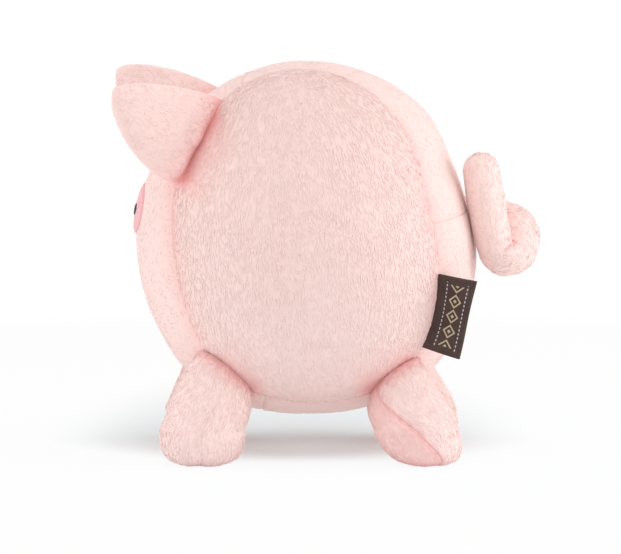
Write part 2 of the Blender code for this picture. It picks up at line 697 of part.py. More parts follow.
def tail():
    """The curled tail: a plush tube closed at its tip, and its stuffing."""
    shape = Tail()
    outer, tip = shape.tube(0.0, TAIL_STEPS)
    inner, inner_tip = shape.tube(TAIL_WALL, TAIL_STEPS)
    add("tail_cover", ring_solid(outer[::-1] + inner, tip, inner_tip), PALE_PLUSH, "tail")
    core, core_tip = shape.tube(TAIL_WALL + FIT_GAP, CORE_STEPS)
    cap, middle = (shape.root_ring(core[1], share) for share in (TAIL_CAP_SHARE, 0.0))
    add("tail_stuffing", ring_solid([cap] + core, middle[0], core_tip), WHITE_FIBRE, "tail")
    HINGES["tail"] = shape.hinge


def side_label():
    """A tape folded double: a flat loop, open where it is caught in the seam."""
    low, high = (seam_point(angle) for angle in LABEL_ROOT_ANGLES)
    root = seam_point(np.mean(LABEL_ROOT_ANGLES))
    along = unit(high - low)
    out = math.radians(LABEL_OUT_ANGLE)
    reach = np.array([math.sin(out), math.cos(out), 0])
    reach = unit(reach - along * (reach @ along))
    normal = np.cross(reach, along)
    root = root + reach * LABEL_ROOT_LIFT
    hinge = Hinge(root, along, LABEL_FLAP)
    half = LABEL_SLOT / 2 + LABEL_TAPE
    rings = []
    for share in np.linspace(-1, 1, LABEL_ROWS + 1):
        edge = root + along * share * LABEL_LENGTH / 2

        def place(t, height):
            return edge + reach * LABEL_REACH * t + normal * height

        def caught(height):
            return place(leaves_body(lambda t: place(t, height), hinge), height)

        fold = 1 - half / LABEL_REACH
        inner_fold = fold + LABEL_SLOT / 2 / LABEL_REACH
        ring = [caught(half), place(fold, half), place(1, half / 2), place(1, -half / 2), place(fold, -half)]
        ring += [caught(-half), caught(-LABEL_SLOT / 2), place(inner_fold, -LABEL_SLOT / 2)]
        ring += [place(inner_fold, LABEL_SLOT / 2), caught(LABEL_SLOT / 2)]
        rings.append(np.array(ring))
    count = len(rings[0])
    faces = [list(range(count)), [len(rings) * count - 1 - j for j in range(count)]]
    for row in range(len(rings) - 1):
        for j in range(count):
            k = (j + 1) % count
            base = row * count
            faces.append([base + j, base + k, base + count + k, base + count + j])
    add("side_label", mesh_of(np.concatenate(rings), faces), BROWN_TAPE, "label")
    HINGES["label"] = hinge


# The face.


def face_y(x, z):
    """Where the face's surface lies, ahead of the body's middle, at a place on it seen from the front."""
    low, high = -BODY_LENGTH, 0.0
    for _ in range(BISECTIONS):
        middle = (low + high) / 2
        if inside_body(np.array([x, middle, z]), 0.0):
            high = middle
        else:
            low = middle
    return low


def snout_height(x, z):
    """How far the snout's front stands off the face at a place within its oval."""
    rise = z - (BODY_CENTRE[2] + SNOUT_HEIGHT_ABOVE_MIDDLE)
    away = min((x / SNOUT_HALF_WIDTH) ** 2 + (rise / SNOUT_HALF_HEIGHT) ** 2, 1)
    return FIT_GAP + SNOUT_EDGE + SNOUT_DOME * (1 - away)


def face_patch(centre, half_width, half_height, base, front):
    """An oval patch on the face between two heights above it, each a function of the place."""
    around = np.linspace(0, 2 * math.pi, PATCH_STEPS, endpoint=False)

    def place(share, turn, height):
        x = centre[0] + half_width * share * math.cos(turn)
        z = centre[1] + half_height * share * math.sin(turn)
        return np.array([x, face_y(x, z) - height(x, z), z])

    fronts = [np.array([place(s, a, front) for a in around]) for s in PATCH_RING_SHARES]
    backs = [np.array([place(s, a, base) for a in around]) for s in reversed(PATCH_RING_SHARES)]
    return ring_solid(fronts + backs, place(0, 0, front), place(0, 0, base))


def stitched_front(centre, half_width, half_height, base):
    """The domed front of an embroidered oval that lies on base."""

    def front(x, z):
        away = ((x - centre[0]) / half_width) ** 2 + ((z - centre[1]) / half_height) ** 2
        return base(x, z) + STITCH_EDGE + STITCH_DOME * max(1 - away, 0)

    return front


def face():
    """Snout, nostrils and eyes."""
    snout = (0.0, BODY_CENTRE[2] + SNOUT_HEIGHT_ABOVE_MIDDLE)
    mesh = face_patch(snout, SNOUT_HALF_WIDTH, SNOUT_HALF_HEIGHT, lambda x, z: FIT_GAP, snout_height)
    add("snout_pad", mesh, DEEP_PLUSH)

    def on_snout(x, z):
        return snout_height(x, z) + FIT_GAP

    nostril = (NOSTRIL_SPACING / 2, snout[1])
    front = stitched_front(nostril, NOSTRIL_HALF_WIDTH, NOSTRIL_HALF_HEIGHT, on_snout)
    mesh = face_patch(nostril, NOSTRIL_HALF_WIDTH, NOSTRIL_HALF_HEIGHT, on_snout, front)
    add_pair("SIDE_nostril", mesh, BLACK_THREAD)

    def on_face(x, z):
        return FIT_GAP

    eye = (EYE_SPACING / 2, BODY_CENTRE[2] + EYE_HEIGHT_ABOVE_MIDDLE)
    front = stitched_front(eye, EYE_HALF_WIDTH, EYE_HALF_HEIGHT, on_face)
    mesh = face_patch(eye, EYE_HALF_WIDTH, EYE_HALF_HEIGHT, on_face, front)
    add_pair("SIDE_eye", mesh, BLACK_THREAD)


# Placing the pieces.


def material(name, finish):
    """A plain Principled material."""
    colour, roughness = finish
    made = bpy.data.materials.new(name)
    made.use_nodes = True
    shader = made.node_tree.nodes["Principled BSDF"]
    shader.inputs["Base Color"].default_value = (*colour, 1)
    shader.inputs["Roughness"].default_value = roughness
    return made


def standing_offset():
    """The move that puts the middle of the whole pig's box over the origin, with its feet on the floor."""
    corners = np.array([v.co for _, mesh, *_ in PIECES for v in mesh.vertices])
    low, high = corners.min(axis=0), corners.max(axis=0)
    return Vector((-(low[0] + high[0]) / 2, -(low[1] + high[1]) / 2, -low[2]))


def place_pieces():
    """One empty for the pig, one on each hinge line, and each piece under the empty of its body."""
    scene = bpy.context.scene
    pig = bpy.data.objects.new("pig", None)
    pig.location = standing_offset()
    scene.collection.objects.link(pig)
    frames = {"body": (pig, Matrix.Identity(4))}
    for body, hinge in HINGES.items():
        pivot = bpy.data.objects.new(f"{body}_hinge", None)
        turn = Vector((1, 0, 0)).rotation_difference(Vector(hinge.axis)).to_matrix().to_4x4()
        frame = Matrix.Translation(Vector(hinge.point)) @ turn
        pivot.matrix_local = frame
        pivot.parent = pig
        scene.collection.objects.link(pivot)
        frames[body] = (pivot, frame)
    for name, mesh, finish, body in PIECES:
        parent, frame = frames[body]
        mesh.transform(frame.inverted())
        mesh.name = name
        mesh.materials.append(material(name, finish))
        mesh.shade_smooth()
        mesh.set_sharp_from_angle(angle=math.radians(SHARP_ANGLE))
        piece = bpy.data.objects.new(name, mesh)
        piece.parent = parent
        scene.collection.objects.link(piece)


def main():
    """Clears the scene and builds the pig."""
    for old in list(bpy.data.objects):
        bpy.data.objects.remove(old)
    side_panel()
    gusset_panel("back_panel", TAIL_SEAM_ANGLE, FOREHEAD_SEAM_ANGLE)
    gusset_panel("face_panel", FOREHEAD_SEAM_ANGLE, CHIN_SEAM_ANGLE)
    gusset_panel("belly_panel", CHIN_SEAM_ANGLE, 360 + TAIL_SEAM_ANGLE)
    body_stuffing()
    squeaker()
    legs()
    ears()
    tail()
    side_label()
    face()
    place_pieces()


main()
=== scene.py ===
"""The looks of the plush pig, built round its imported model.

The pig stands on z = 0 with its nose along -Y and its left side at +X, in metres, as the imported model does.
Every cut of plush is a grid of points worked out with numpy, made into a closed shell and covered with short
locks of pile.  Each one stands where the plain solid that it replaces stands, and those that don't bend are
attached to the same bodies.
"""

from __future__ import annotations

import json
import logging
import math
from dataclasses import dataclass, replace
from enum import Enum
from typing import Any, Callable

import bmesh
import bpy
import numpy as np
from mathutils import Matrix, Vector

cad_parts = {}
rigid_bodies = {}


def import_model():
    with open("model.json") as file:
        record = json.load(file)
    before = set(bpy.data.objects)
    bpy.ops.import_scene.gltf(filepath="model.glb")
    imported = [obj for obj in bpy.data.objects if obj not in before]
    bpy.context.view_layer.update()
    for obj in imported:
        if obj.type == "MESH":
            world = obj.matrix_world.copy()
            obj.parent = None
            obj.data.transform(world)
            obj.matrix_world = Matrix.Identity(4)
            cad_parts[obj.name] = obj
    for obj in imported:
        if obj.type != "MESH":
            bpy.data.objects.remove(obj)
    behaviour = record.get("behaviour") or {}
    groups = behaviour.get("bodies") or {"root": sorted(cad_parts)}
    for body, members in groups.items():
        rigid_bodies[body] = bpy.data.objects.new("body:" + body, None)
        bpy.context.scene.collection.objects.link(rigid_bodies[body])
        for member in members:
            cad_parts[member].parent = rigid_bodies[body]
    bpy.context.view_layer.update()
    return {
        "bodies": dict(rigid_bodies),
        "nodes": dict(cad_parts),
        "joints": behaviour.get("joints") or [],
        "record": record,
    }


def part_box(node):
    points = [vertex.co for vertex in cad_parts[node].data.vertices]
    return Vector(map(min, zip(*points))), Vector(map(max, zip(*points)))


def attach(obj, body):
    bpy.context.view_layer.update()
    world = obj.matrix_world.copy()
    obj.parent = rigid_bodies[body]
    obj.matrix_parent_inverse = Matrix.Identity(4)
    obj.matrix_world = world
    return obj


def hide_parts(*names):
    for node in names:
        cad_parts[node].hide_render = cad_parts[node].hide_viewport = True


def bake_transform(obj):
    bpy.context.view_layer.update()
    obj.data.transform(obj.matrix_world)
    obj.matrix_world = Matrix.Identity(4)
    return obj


LOG = logging.getLogger("plush_pig")
MERGE_DISTANCE = 1e-6
Array = np.ndarray
Colour = tuple[float, float, float]


class Side(Enum):
    """The pig's own left and right, with the sign of x there."""

    LEFT = 1.0
    RIGHT = -1.0

    @property
    def word(self) -> str:
        """The side's name as it stands in the names of nodes."""
        return self.name.lower()


class End(Enum):
    """The front and hind pairs of legs."""

    FRONT = "front"
    HIND = "hind"


# Numbers and small geometry.


def smoothstep(value: Array, low: float, high: float) -> Array:
    """Rises from 0 at low to 1 at high along 3t^2 - 2t^3.

    Args:
        value: The numbers to map.
        low: Where the rise starts.
        high: Where it ends.

    Returns:
        An array of the same shape, from 0 to 1.
    """
    t = np.clip((value - low) / (high - low), 0, 1)
    return t * t * (3 - 2 * t)


def blend(a: Any, b: Any, share: Any) -> Any:
    """The value that lies share of the way from a to b."""
    return a + (b - a) * share


def unit(vectors: Array) -> Array:
    """Vectors at length one, along the last axis."""
    length = np.linalg.norm(vectors, axis=-1, keepdims=True)
    return vectors / np.maximum(length, 1e-12)


def lattice(places: list[Array], seed: int) -> Array:
    """A repeatable number from -1 to 1 for each whole-number place: its three whole numbers and the seed are
    multiplied by large primes, summed and mixed by shifts.

    Args:
        places: Three integer arrays of one shape.
        seed: Which of many unlike patterns.

    Returns:
        An array of that shape.
    """
    mixed = seed * 974634777
    for whole, prime in zip(places, (374761393, 668265263, 2147483629)):
        mixed = mixed + whole * prime
    mixed = mixed & 0xFFFFFFFF
    mixed = ((mixed ^ (mixed >> 13)) * 1274126177) & 0xFFFFFFFF
    return ((mixed ^ (mixed >> 16)) & 0xFFFF) / 32767.5 - 1


def noise(points: Array, size: float, seed: int, octaves: int = 2) -> Array:
    """Smooth noise: random values on a cubic lattice of pitch size, blended between its corners by
    smoothstep, with finer and weaker copies added.

    Args:
        points: An array whose last axis holds x, y and z.
        size: The pitch of the coarsest lattice, in the units of points.
        seed: Which of many unlike patterns.
        octaves: How many copies, each half as large and half as strong as the last.

    Returns:
        Values from about -1 to 1, one for each point.
    """
    total, strength, weight = np.zeros(points.shape[:-1]), 1.0, 0.0
    for octave in range(octaves):
        scaled = points / size * 2**octave + 17.3 * octave
        base = np.floor(scaled).astype(np.int64)
        t = scaled - base
        t = t * t * (3 - 2 * t)
        value = np.zeros_like(total)
        for corner in range(8):
            steps = [(corner >> k) & 1 for k in range(3)]
            share = np.ones_like(total)
            for k, step in enumerate(steps):
                share = share * (t[..., k] if step else 1 - t[..., k])
            value += share * lattice([base[..., k] + steps[k] for k in range(3)], seed + octave)
        total += value * strength
        weight += strength
        strength /= 2
    return total / weight


def disc_grid(count: int) -> tuple[Array, Array]:
    """A square grid laid over a round disc: u = a sqrt(1 - b^2 / 2) and v = b sqrt(1 - a^2 / 2), for a and b
    from -1 to 1.

    Args:
        count: The number of cells along a side.

    Returns:
        The distance from the middle, 0 to 1, and the angle in degrees, each count + 1 square.
    """
    a, b = np.meshgrid(np.linspace(-1, 1, count + 1), np.linspace(-1, 1, count + 1), indexing="ij")
    u, v = a * np.sqrt(1 - b**2 / 2), b * np.sqrt(1 - a**2 / 2)
    return np.minimum(np.hypot(u, v), 1), np.degrees(np.arctan2(v, u))


def grid_normals(points: Array, wrap: bool) -> Array:
    """The unit normal of a grid at each point: the cross product of its steps along rows and columns.

    Args:
        points: Rows by columns by 3.
        wrap: Whether the last column is next to the first.

    Returns:
        An array of the same shape.
    """
    if wrap:
        padded = np.concatenate([points[:, -1:], points, points[:, :1]], axis=1)
        along_columns = (padded[:, 2:] - padded[:, :-2]) / 2
    else:
        along_columns = np.gradient(points, axis=1)
    normals = np.cross(np.gradient(points, axis=0), along_columns)
    flat = np.linalg.norm(normals, axis=-1) < 1e-14
    for row, inner in ((0, 1), (-1, -2)):
        normals[row][flat[row]] = normals[inner][flat[row]]
    return unit(normals)


# Meshes.


def grid_faces(rows: int, columns: int, wrap: bool, start: int = 0, flip: bool = False) -> Array:
    """The quads of a grid whose points are numbered row by row from start."""
    count = columns if wrap else columns - 1
    i, j = np.meshgrid(np.arange(rows - 1), np.arange(count), indexing="ij")
    k = (j + 1) % columns
    quads = np.stack([i * columns + j, (i + 1) * columns + j, (i + 1) * columns + k, i * columns + k], axis=-1)
    quads = quads.reshape(-1, 4) + start
    return quads[:, ::-1] if flip else quads


def rim_faces(rows: int, columns: int, wrap: bool, closed_end: bool) -> Array:
    """The quads that join the border of one grid to that of a second one, numbered after it."""
    first = [(0, j) for j in range(columns)]
    last = [(rows - 1, j) for j in range(columns)]
    if wrap:
        loops = [first + first[:1]] + ([] if closed_end else [last[::-1] + last[-1:]])
    else:
        right = [(i, columns - 1) for i in range(rows)]
        left = [(i, 0) for i in range(rows)]
        loops = [first + right[1:] + last[-2::-1] + left[-2::-1]]
    faces = []
    layer = rows * columns
    for loop in loops:
        line = np.array([r * columns + c for r, c in loop])
        faces.append(np.stack([line[:-1], line[1:], line[1:] + layer, line[:-1] + layer], axis=-1))
    return np.concatenate(faces)


def make_object(name: str, points: Array, faces: list[Array], material: bpy.types.Material,
                smooth: bool = True) -> bpy.types.Object:
    """Puts points and faces into a new object at the origin.

    Args:
        name: The piece's name.
        points: Number by 3.
        faces: Arrays of quads or triangles.
        material: The piece's finish.
        smooth: Whether its shading runs smoothly from face to face.

    Returns:
        The new object, linked to the scene.
    """
    mesh = bpy.data.meshes.new(name)
    mesh.from_pydata(points.tolist(), [], [face for block in faces for face in block.tolist()])
    mesh.materials.append(material)
    if smooth:
        mesh.shade_smooth()
    made = bpy.data.objects.new(name, mesh)
    bpy.context.scene.collection.objects.link(made)
    return made


def keep_values(made: bpy.types.Object, values: dict[str, Array]) -> None:
    """Stores a value for each point of a mesh, as attributes that materials read by name."""
    for name, value in values.items():
        kind = "FLOAT_VECTOR" if value.ndim == 2 else "FLOAT"
        attribute = made.data.attributes.new(name, kind, "POINT")
        attribute.data.foreach_set("vector" if value.ndim == 2 else "value",
                                   value.astype(np.float32).ravel())


def close_up(made: bpy.types.Object) -> None:
    """Merges doubled points, so that seams and poles are closed, and turns every face outwards."""
    work = bmesh.new()
    work.from_mesh(made.data)
    bmesh.ops.remove_doubles(work, verts=work.verts, dist=MERGE_DISTANCE)
    bmesh.ops.dissolve_degenerate(work, edges=work.edges, dist=MERGE_DISTANCE / 10)
    bmesh.ops.recalc_face_normals(work, faces=work.faces)
    work.to_mesh(made.data)
    work.free()


@dataclass
class Cloth:
    """One cut of plush, as a grid of points.

    points and back are the two faces of the cloth, lay is the way that the pile lies, nap is a place in
    metres whose third number runs along the pile, and crease goes from 0 in the open to 1 deep in a seam; it sets
    the painted shade, a deeper pink, that the plush material lays there, and shortens the locks.
    trim is the pile's length there, as a share of its full length.
    """

    points: Array
    back: Array
    lay: Array
    nap: Array
    crease: Array
    trim: Array
    wrap: bool = False
    closed_end: bool = False

    def mirrored(self) -> Cloth:
        """The same cut on the pig's other side."""
        flip = np.array([-1.0, 1, 1])
        return Cloth(self.points * flip, self.back * flip, self.lay * flip, self.nap, self.crease, self.trim)


@dataclass(frozen=True)
class Pile:
    """The locks of pile on a cut of plush."""

    length: float = 0.0031
    width: float = 0.00050
    thickness: float = 0.00009
    lift_share: float = 0.045
    droop_share: float = 0.030
    sunk: float = 0.00012
    spread_degrees: float = 9.0
    swirl_degrees: float = 14.0
    area_each: float = 0.85e-6

    def grow(self, cloth: Cloth, seed: int) -> tuple[Array, list[Array], dict[str, Array]]:
        """Grows locks at random places: each is a bent three-sided spike, lying along the pile.

        Args:
            cloth: The cut of plush that they stand on.
            seed: Starts the random draws.

        Returns:
            Their points, faces, and values for each point.
        """
        rng = np.random.default_rng(seed)
        grid = cloth.points
        if cloth.wrap:
            grid = np.concatenate([grid, grid[:, :1]], axis=1)
        side_a, side_b = grid[1:, :-1] - grid[:-1, :-1], grid[:-1, 1:] - grid[:-1, :-1]
        area = (np.linalg.norm(np.cross(side_a, side_b), axis=-1) * cloth.trim[:-1, : side_a.shape[1]]).ravel()
        count = int(area.sum() / self.area_each)
        cell = rng.choice(area.size, count, p=area / area.sum())
        row, column = cell // (grid.shape[1] - 1), cell % (grid.shape[1] - 1)
        down, over = rng.random(count)[:, None], rng.random(count)[:, None]

        def pick(values: Array) -> Array:
            """The values at the drawn places, blended between the corners of each cell."""
            if cloth.wrap:
                values = np.concatenate([values, values[:, :1]], axis=1)
            flat = values if values.ndim == 3 else values[..., None]
            top = blend(flat[row, column], flat[row, column + 1], over)
            low = blend(flat[row + 1, column], flat[row + 1, column + 1], over)
            return blend(top, low, down)

        normals = grid_normals(cloth.points, cloth.wrap)
        normals *= np.sign(np.sum(normals * (cloth.points - cloth.back)))
        place, nap, crease = pick(cloth.points), pick(cloth.nap), pick(cloth.crease)[:, 0]
        up = unit(pick(normals))
        lay = pick(cloth.lay)
        lay = unit(lay - up * np.sum(lay * up, axis=1, keepdims=True))
        turn = np.radians(rng.normal(0, self.spread_degrees, count))[:, None]
        turn = turn + np.radians(self.swirl_degrees) * noise(place, 0.012, seed + 5)[:, None]
        lay = lay * np.cos(turn) + np.cross(up, lay) * np.sin(turn)
        side = np.cross(up, lay)
        size = rng.uniform(0.7, 1.2, count)[:, None] * (1 - 0.45 * crease[:, None]) * pick(cloth.trim)
        length, width = self.length * size, self.width * rng.uniform(0.7, 1.25, count)[:, None]
        root, middle = place - up * self.sunk, place + lay * length * 0.5 + up * length * self.lift_share
        tip = place + lay * length + up * length * self.droop_share
        corners = []
        for centre, share in ((root, 1.0), (middle, 0.85)):
            corners += [centre - side * width * share / 2, centre + side * width * share / 2]
            corners.append(centre + up * self.thickness * share)
        points = np.stack([*corners, tip], axis=1).reshape(-1, 3)
        first = np.arange(count)[:, None] * 7
        quads = np.concatenate([first + q for q in ([0, 1, 4, 3], [1, 2, 5, 4], [2, 0, 3, 5])])
        triangles = np.concatenate([first + t for t in ([3, 4, 6], [4, 5, 6], [5, 3, 6], [0, 2, 1])])
        # depth paints shade into each lock: the plush material darkens it from 0 at the tip to 1 at the root, deep
        # in the pile.
        depth = np.tile([1.0, 1.0, 0.9, 0.45, 0.45, 0.3, 0.0], count)
        lock = np.repeat(rng.random(count), 7)
        along = np.tile([0, 0, 0, 0.5, 0.5, 0.5, 1.0], count) * np.repeat(length[:, 0], 7)
        nap = np.repeat(nap, 7, axis=0) + along[:, None] * np.array([0, 0, 1])
        values = {"nap": nap, "crease": np.repeat(crease, 7), "depth": depth, "lock": lock}
        return points, [quads, triangles], values


def sew(name: str, cloth: Cloth, pile: Pile | None, material: bpy.types.Material, seed: int,
        floor: bool = False) -> bpy.types.Object:
    """Makes a cut of plush: a closed shell between its two faces, with its locks of pile in the same mesh.

    Args:
        name: The piece's name.
        cloth: The grid.
        pile: The locks, or None for a bare cloth.
        material: Its finish.
        seed: Starts the random draws.
        floor: Whether the piece stands on z = 0, and so keeps above it.

    Returns:
        The new object.
    """
    rows, columns = cloth.crease.shape
    flip = np.sum(grid_normals(cloth.points, cloth.wrap) * (cloth.points - cloth.back)) < 0
    face, back = cloth.points.reshape(-1, 3), cloth.back.reshape(-1, 3)
    layer = rows * columns
    faces = [grid_faces(rows, columns, cloth.wrap, 0, flip),
             grid_faces(rows, columns, cloth.wrap, layer, not flip)]
    rim = rim_faces(rows, columns, cloth.wrap, cloth.closed_end)
    faces.append(rim)
    made = make_object(name, np.concatenate([face, back]), faces, material)
    nap = cloth.nap.reshape(-1, 3)
    crease = cloth.crease.ravel()
    values = {"nap": np.concatenate([nap, nap]), "crease": np.concatenate([crease, crease])}
    # The cloth under the locks gets a middling depth, so the plush material paints some of the pile's shade on it;
    # lock is a middling tone.
    values |= {"depth": np.full(2 * layer, 0.4), "lock": np.full(2 * layer, 0.5)}
    keep_values(made, values)
    rounded = np.ones(len(made.data.polygons), bool)
    rounded[-len(rim):] = False
    made.data.polygons.foreach_set("use_smooth", rounded)
    close_up(made)
    if pile is not None:
        points, blocks, values = pile.grow(cloth, seed)
        locks = make_object(name + "_pile", points, blocks, material, smooth=False)
        keep_values(locks, values)
        join(made, locks)
    if floor:
        lift_off_floor(made)
    return made


def join(made: bpy.types.Object, other: bpy.types.Object) -> None:
    """Moves the mesh of other into made."""
    spare = other.data
    with bpy.context.temp_override(active_object=made, selected_editable_objects=[made, other]):
        bpy.ops.object.join()
    if spare.users == 0:
        bpy.data.meshes.remove(spare)


def lift_off_floor(made: bpy.types.Object) -> None:
    """Raises any point that lies below z = 0 to it."""
    place = np.zeros(len(made.data.vertices) * 3, np.float32)
    made.data.vertices.foreach_get("co", place)
    place = place.reshape(-1, 3)
    place[:, 2] = np.maximum(place[:, 2], 0)
    made.data.vertices.foreach_set("co", place.ravel())
    made.data.update()


# Swelling under pressure, by cloth simulation.


@dataclass
class Swelling:
    """How far a stuffed form moves once its cloth is under pressure: places, and the move at each."""

    rest: Array
    moved: Array
    reach: float
    chunk: int = 1500

    def at(self, points: Array) -> Array:
        """The move at each point: the mean of the simulated places' moves, weighted by a bell of width
        reach."""
        flat = points.reshape(-1, 3)
        result = np.zeros_like(flat)
        for start in range(0, len(flat), self.chunk):
            part = flat[start : start + self.chunk]
            apart = (part**2).sum(axis=1)[:, None] + (self.rest**2).sum(axis=1)[None] - 2 * part @ self.rest.T
            weight = np.exp(-apart / self.reach**2)
            result[start : start + self.chunk] = weight @ self.moved / (weight.sum(axis=1, keepdims=True) + 1e-3)
        return result.reshape(points.shape)


def swelled(swelling: Swelling | None, points: Array) -> Array:
    """Points moved as the swelling says, or left where they are if there is none."""
    return points if swelling is None else points + swelling.at(points)


@dataclass(frozen=True)
class Simulation:
    """A cloth simulation of a stuffed form: its surface in voxels, held at its seams, under inner pressure.
    It runs on a copy that is enlarged times over, because the solver is made for larger things.
    """

    voxel: float
    cap: float
    pressure: float = 10.0
    mass: float = 0.3
    stiffness: float = 5.0
    enlarged: float = 6.0
    frames: int = 16

    def run(self, name: str, grids: list[tuple[Array, bool]],
            held: Callable[[Array], Array]) -> Swelling | None:
        """Runs the simulation, and caps the moves and takes their mean outward part away, so the form keeps
        its size.

        Args:
            name: What the form is called in the log.
            grids: The form's outer surfaces, and whether each one's last column is next to its first.
            held: Tells which of some points are sewn down.

        Returns:
            The moves.
        """
        form = self.voxel_form(name, grids)
        rest, normals = mesh_places(form.data) / self.enlarged, mesh_normals(form.data)
        group = form.vertex_groups.new(name="held")
        group.add(np.nonzero(held(rest))[0].tolist(), 1.0, "REPLACE")
        cloth = form.modifiers.new("cloth", "CLOTH")
        cloth.settings.quality = 6
        cloth.settings.mass = self.mass
        cloth.settings.tension_stiffness = cloth.settings.compression_stiffness = self.stiffness
        cloth.settings.use_pressure = True
        cloth.settings.uniform_pressure_force = self.pressure
        cloth.settings.effector_weights.gravity = 0
        cloth.settings.vertex_group_mass = "held"
        cloth.collision_settings.use_collision = False
        cloth.point_cache.frame_end = self.frames
        scene = bpy.context.scene
        for frame in range(1, self.frames + 1):
            scene.frame_set(frame)
        evaluated = form.evaluated_get(bpy.context.evaluated_depsgraph_get())
        moved = mesh_places(evaluated.data) / self.enlarged - rest
        scene.frame_set(1)
        length = np.linalg.norm(moved, axis=1, keepdims=True)
        LOG.info("%s: %d places simulated, moved up to %.2f mm", name, len(rest), length.max() * 1000)
        moved = moved * np.minimum(1, self.cap / np.maximum(length, 1e-9))
        moved = moved - normals * np.mean(np.sum(moved * normals, axis=1))
        spare = form.data
        bpy.data.objects.remove(form)
        bpy.data.meshes.remove(spare)
        return Swelling(rest, moved, self.voxel * 1.1)

    def voxel_form(self, name: str, grids: list[tuple[Array, bool]]) -> bpy.types.Object:
        """Joins grids into one closed form and meshes it again in even voxels."""
        faces, points, start = [], [], 0
        for grid, wrap in grids:
            faces.append(grid_faces(grid.shape[0], grid.shape[1], wrap, start))
            points.append(grid.reshape(-1, 3) * self.enlarged)
            start += len(points[-1])
        mesh = bpy.data.meshes.new(f"{name}_form")
        mesh.from_pydata(np.concatenate(points).tolist(), [], [f for block in faces for f in block.tolist()])
        work = bmesh.new()
        work.from_mesh(mesh)
        bmesh.ops.remove_doubles(work, verts=work.verts, dist=1e-4)
        bmesh.ops.holes_fill(work, edges=[edge for edge in work.edges if edge.is_boundary], sides=0)
        bmesh.ops.recalc_face_normals(work, faces=work.faces)
        work.to_mesh(mesh)
        work.free()
        form = bpy.data.objects.new(f"{name}_form", mesh)
        bpy.context.scene.collection.objects.link(form)
        remesh = form.modifiers.new("voxels", "REMESH")
        remesh.mode = "VOXEL"
        remesh.voxel_size = self.voxel * self.enlarged
        bpy.context.view_layer.update()
        even = bpy.data.meshes.new_from_object(form.evaluated_get(bpy.context.evaluated_depsgraph_get()))
        form.modifiers.clear()
        form.data = even
        bpy.data.meshes.remove(mesh)
        return form


def mesh_places(mesh: bpy.types.Mesh) -> Array:
    """The places of a mesh's points, as an array."""
    places = np.zeros(len(mesh.vertices) * 3, np.float32)
    mesh.vertices.foreach_get("co", places)
    return places.reshape(-1, 3).astype(float)


def mesh_normals(mesh: bpy.types.Mesh) -> Array:
    """The normals at a mesh's points, as an array."""
    normals = np.zeros(len(mesh.vertices) * 3, np.float32)
    mesh.vertex_normals.foreach_get("vector", normals)
    return normals.reshape(-1, 3).astype(float)


# The pig's body.


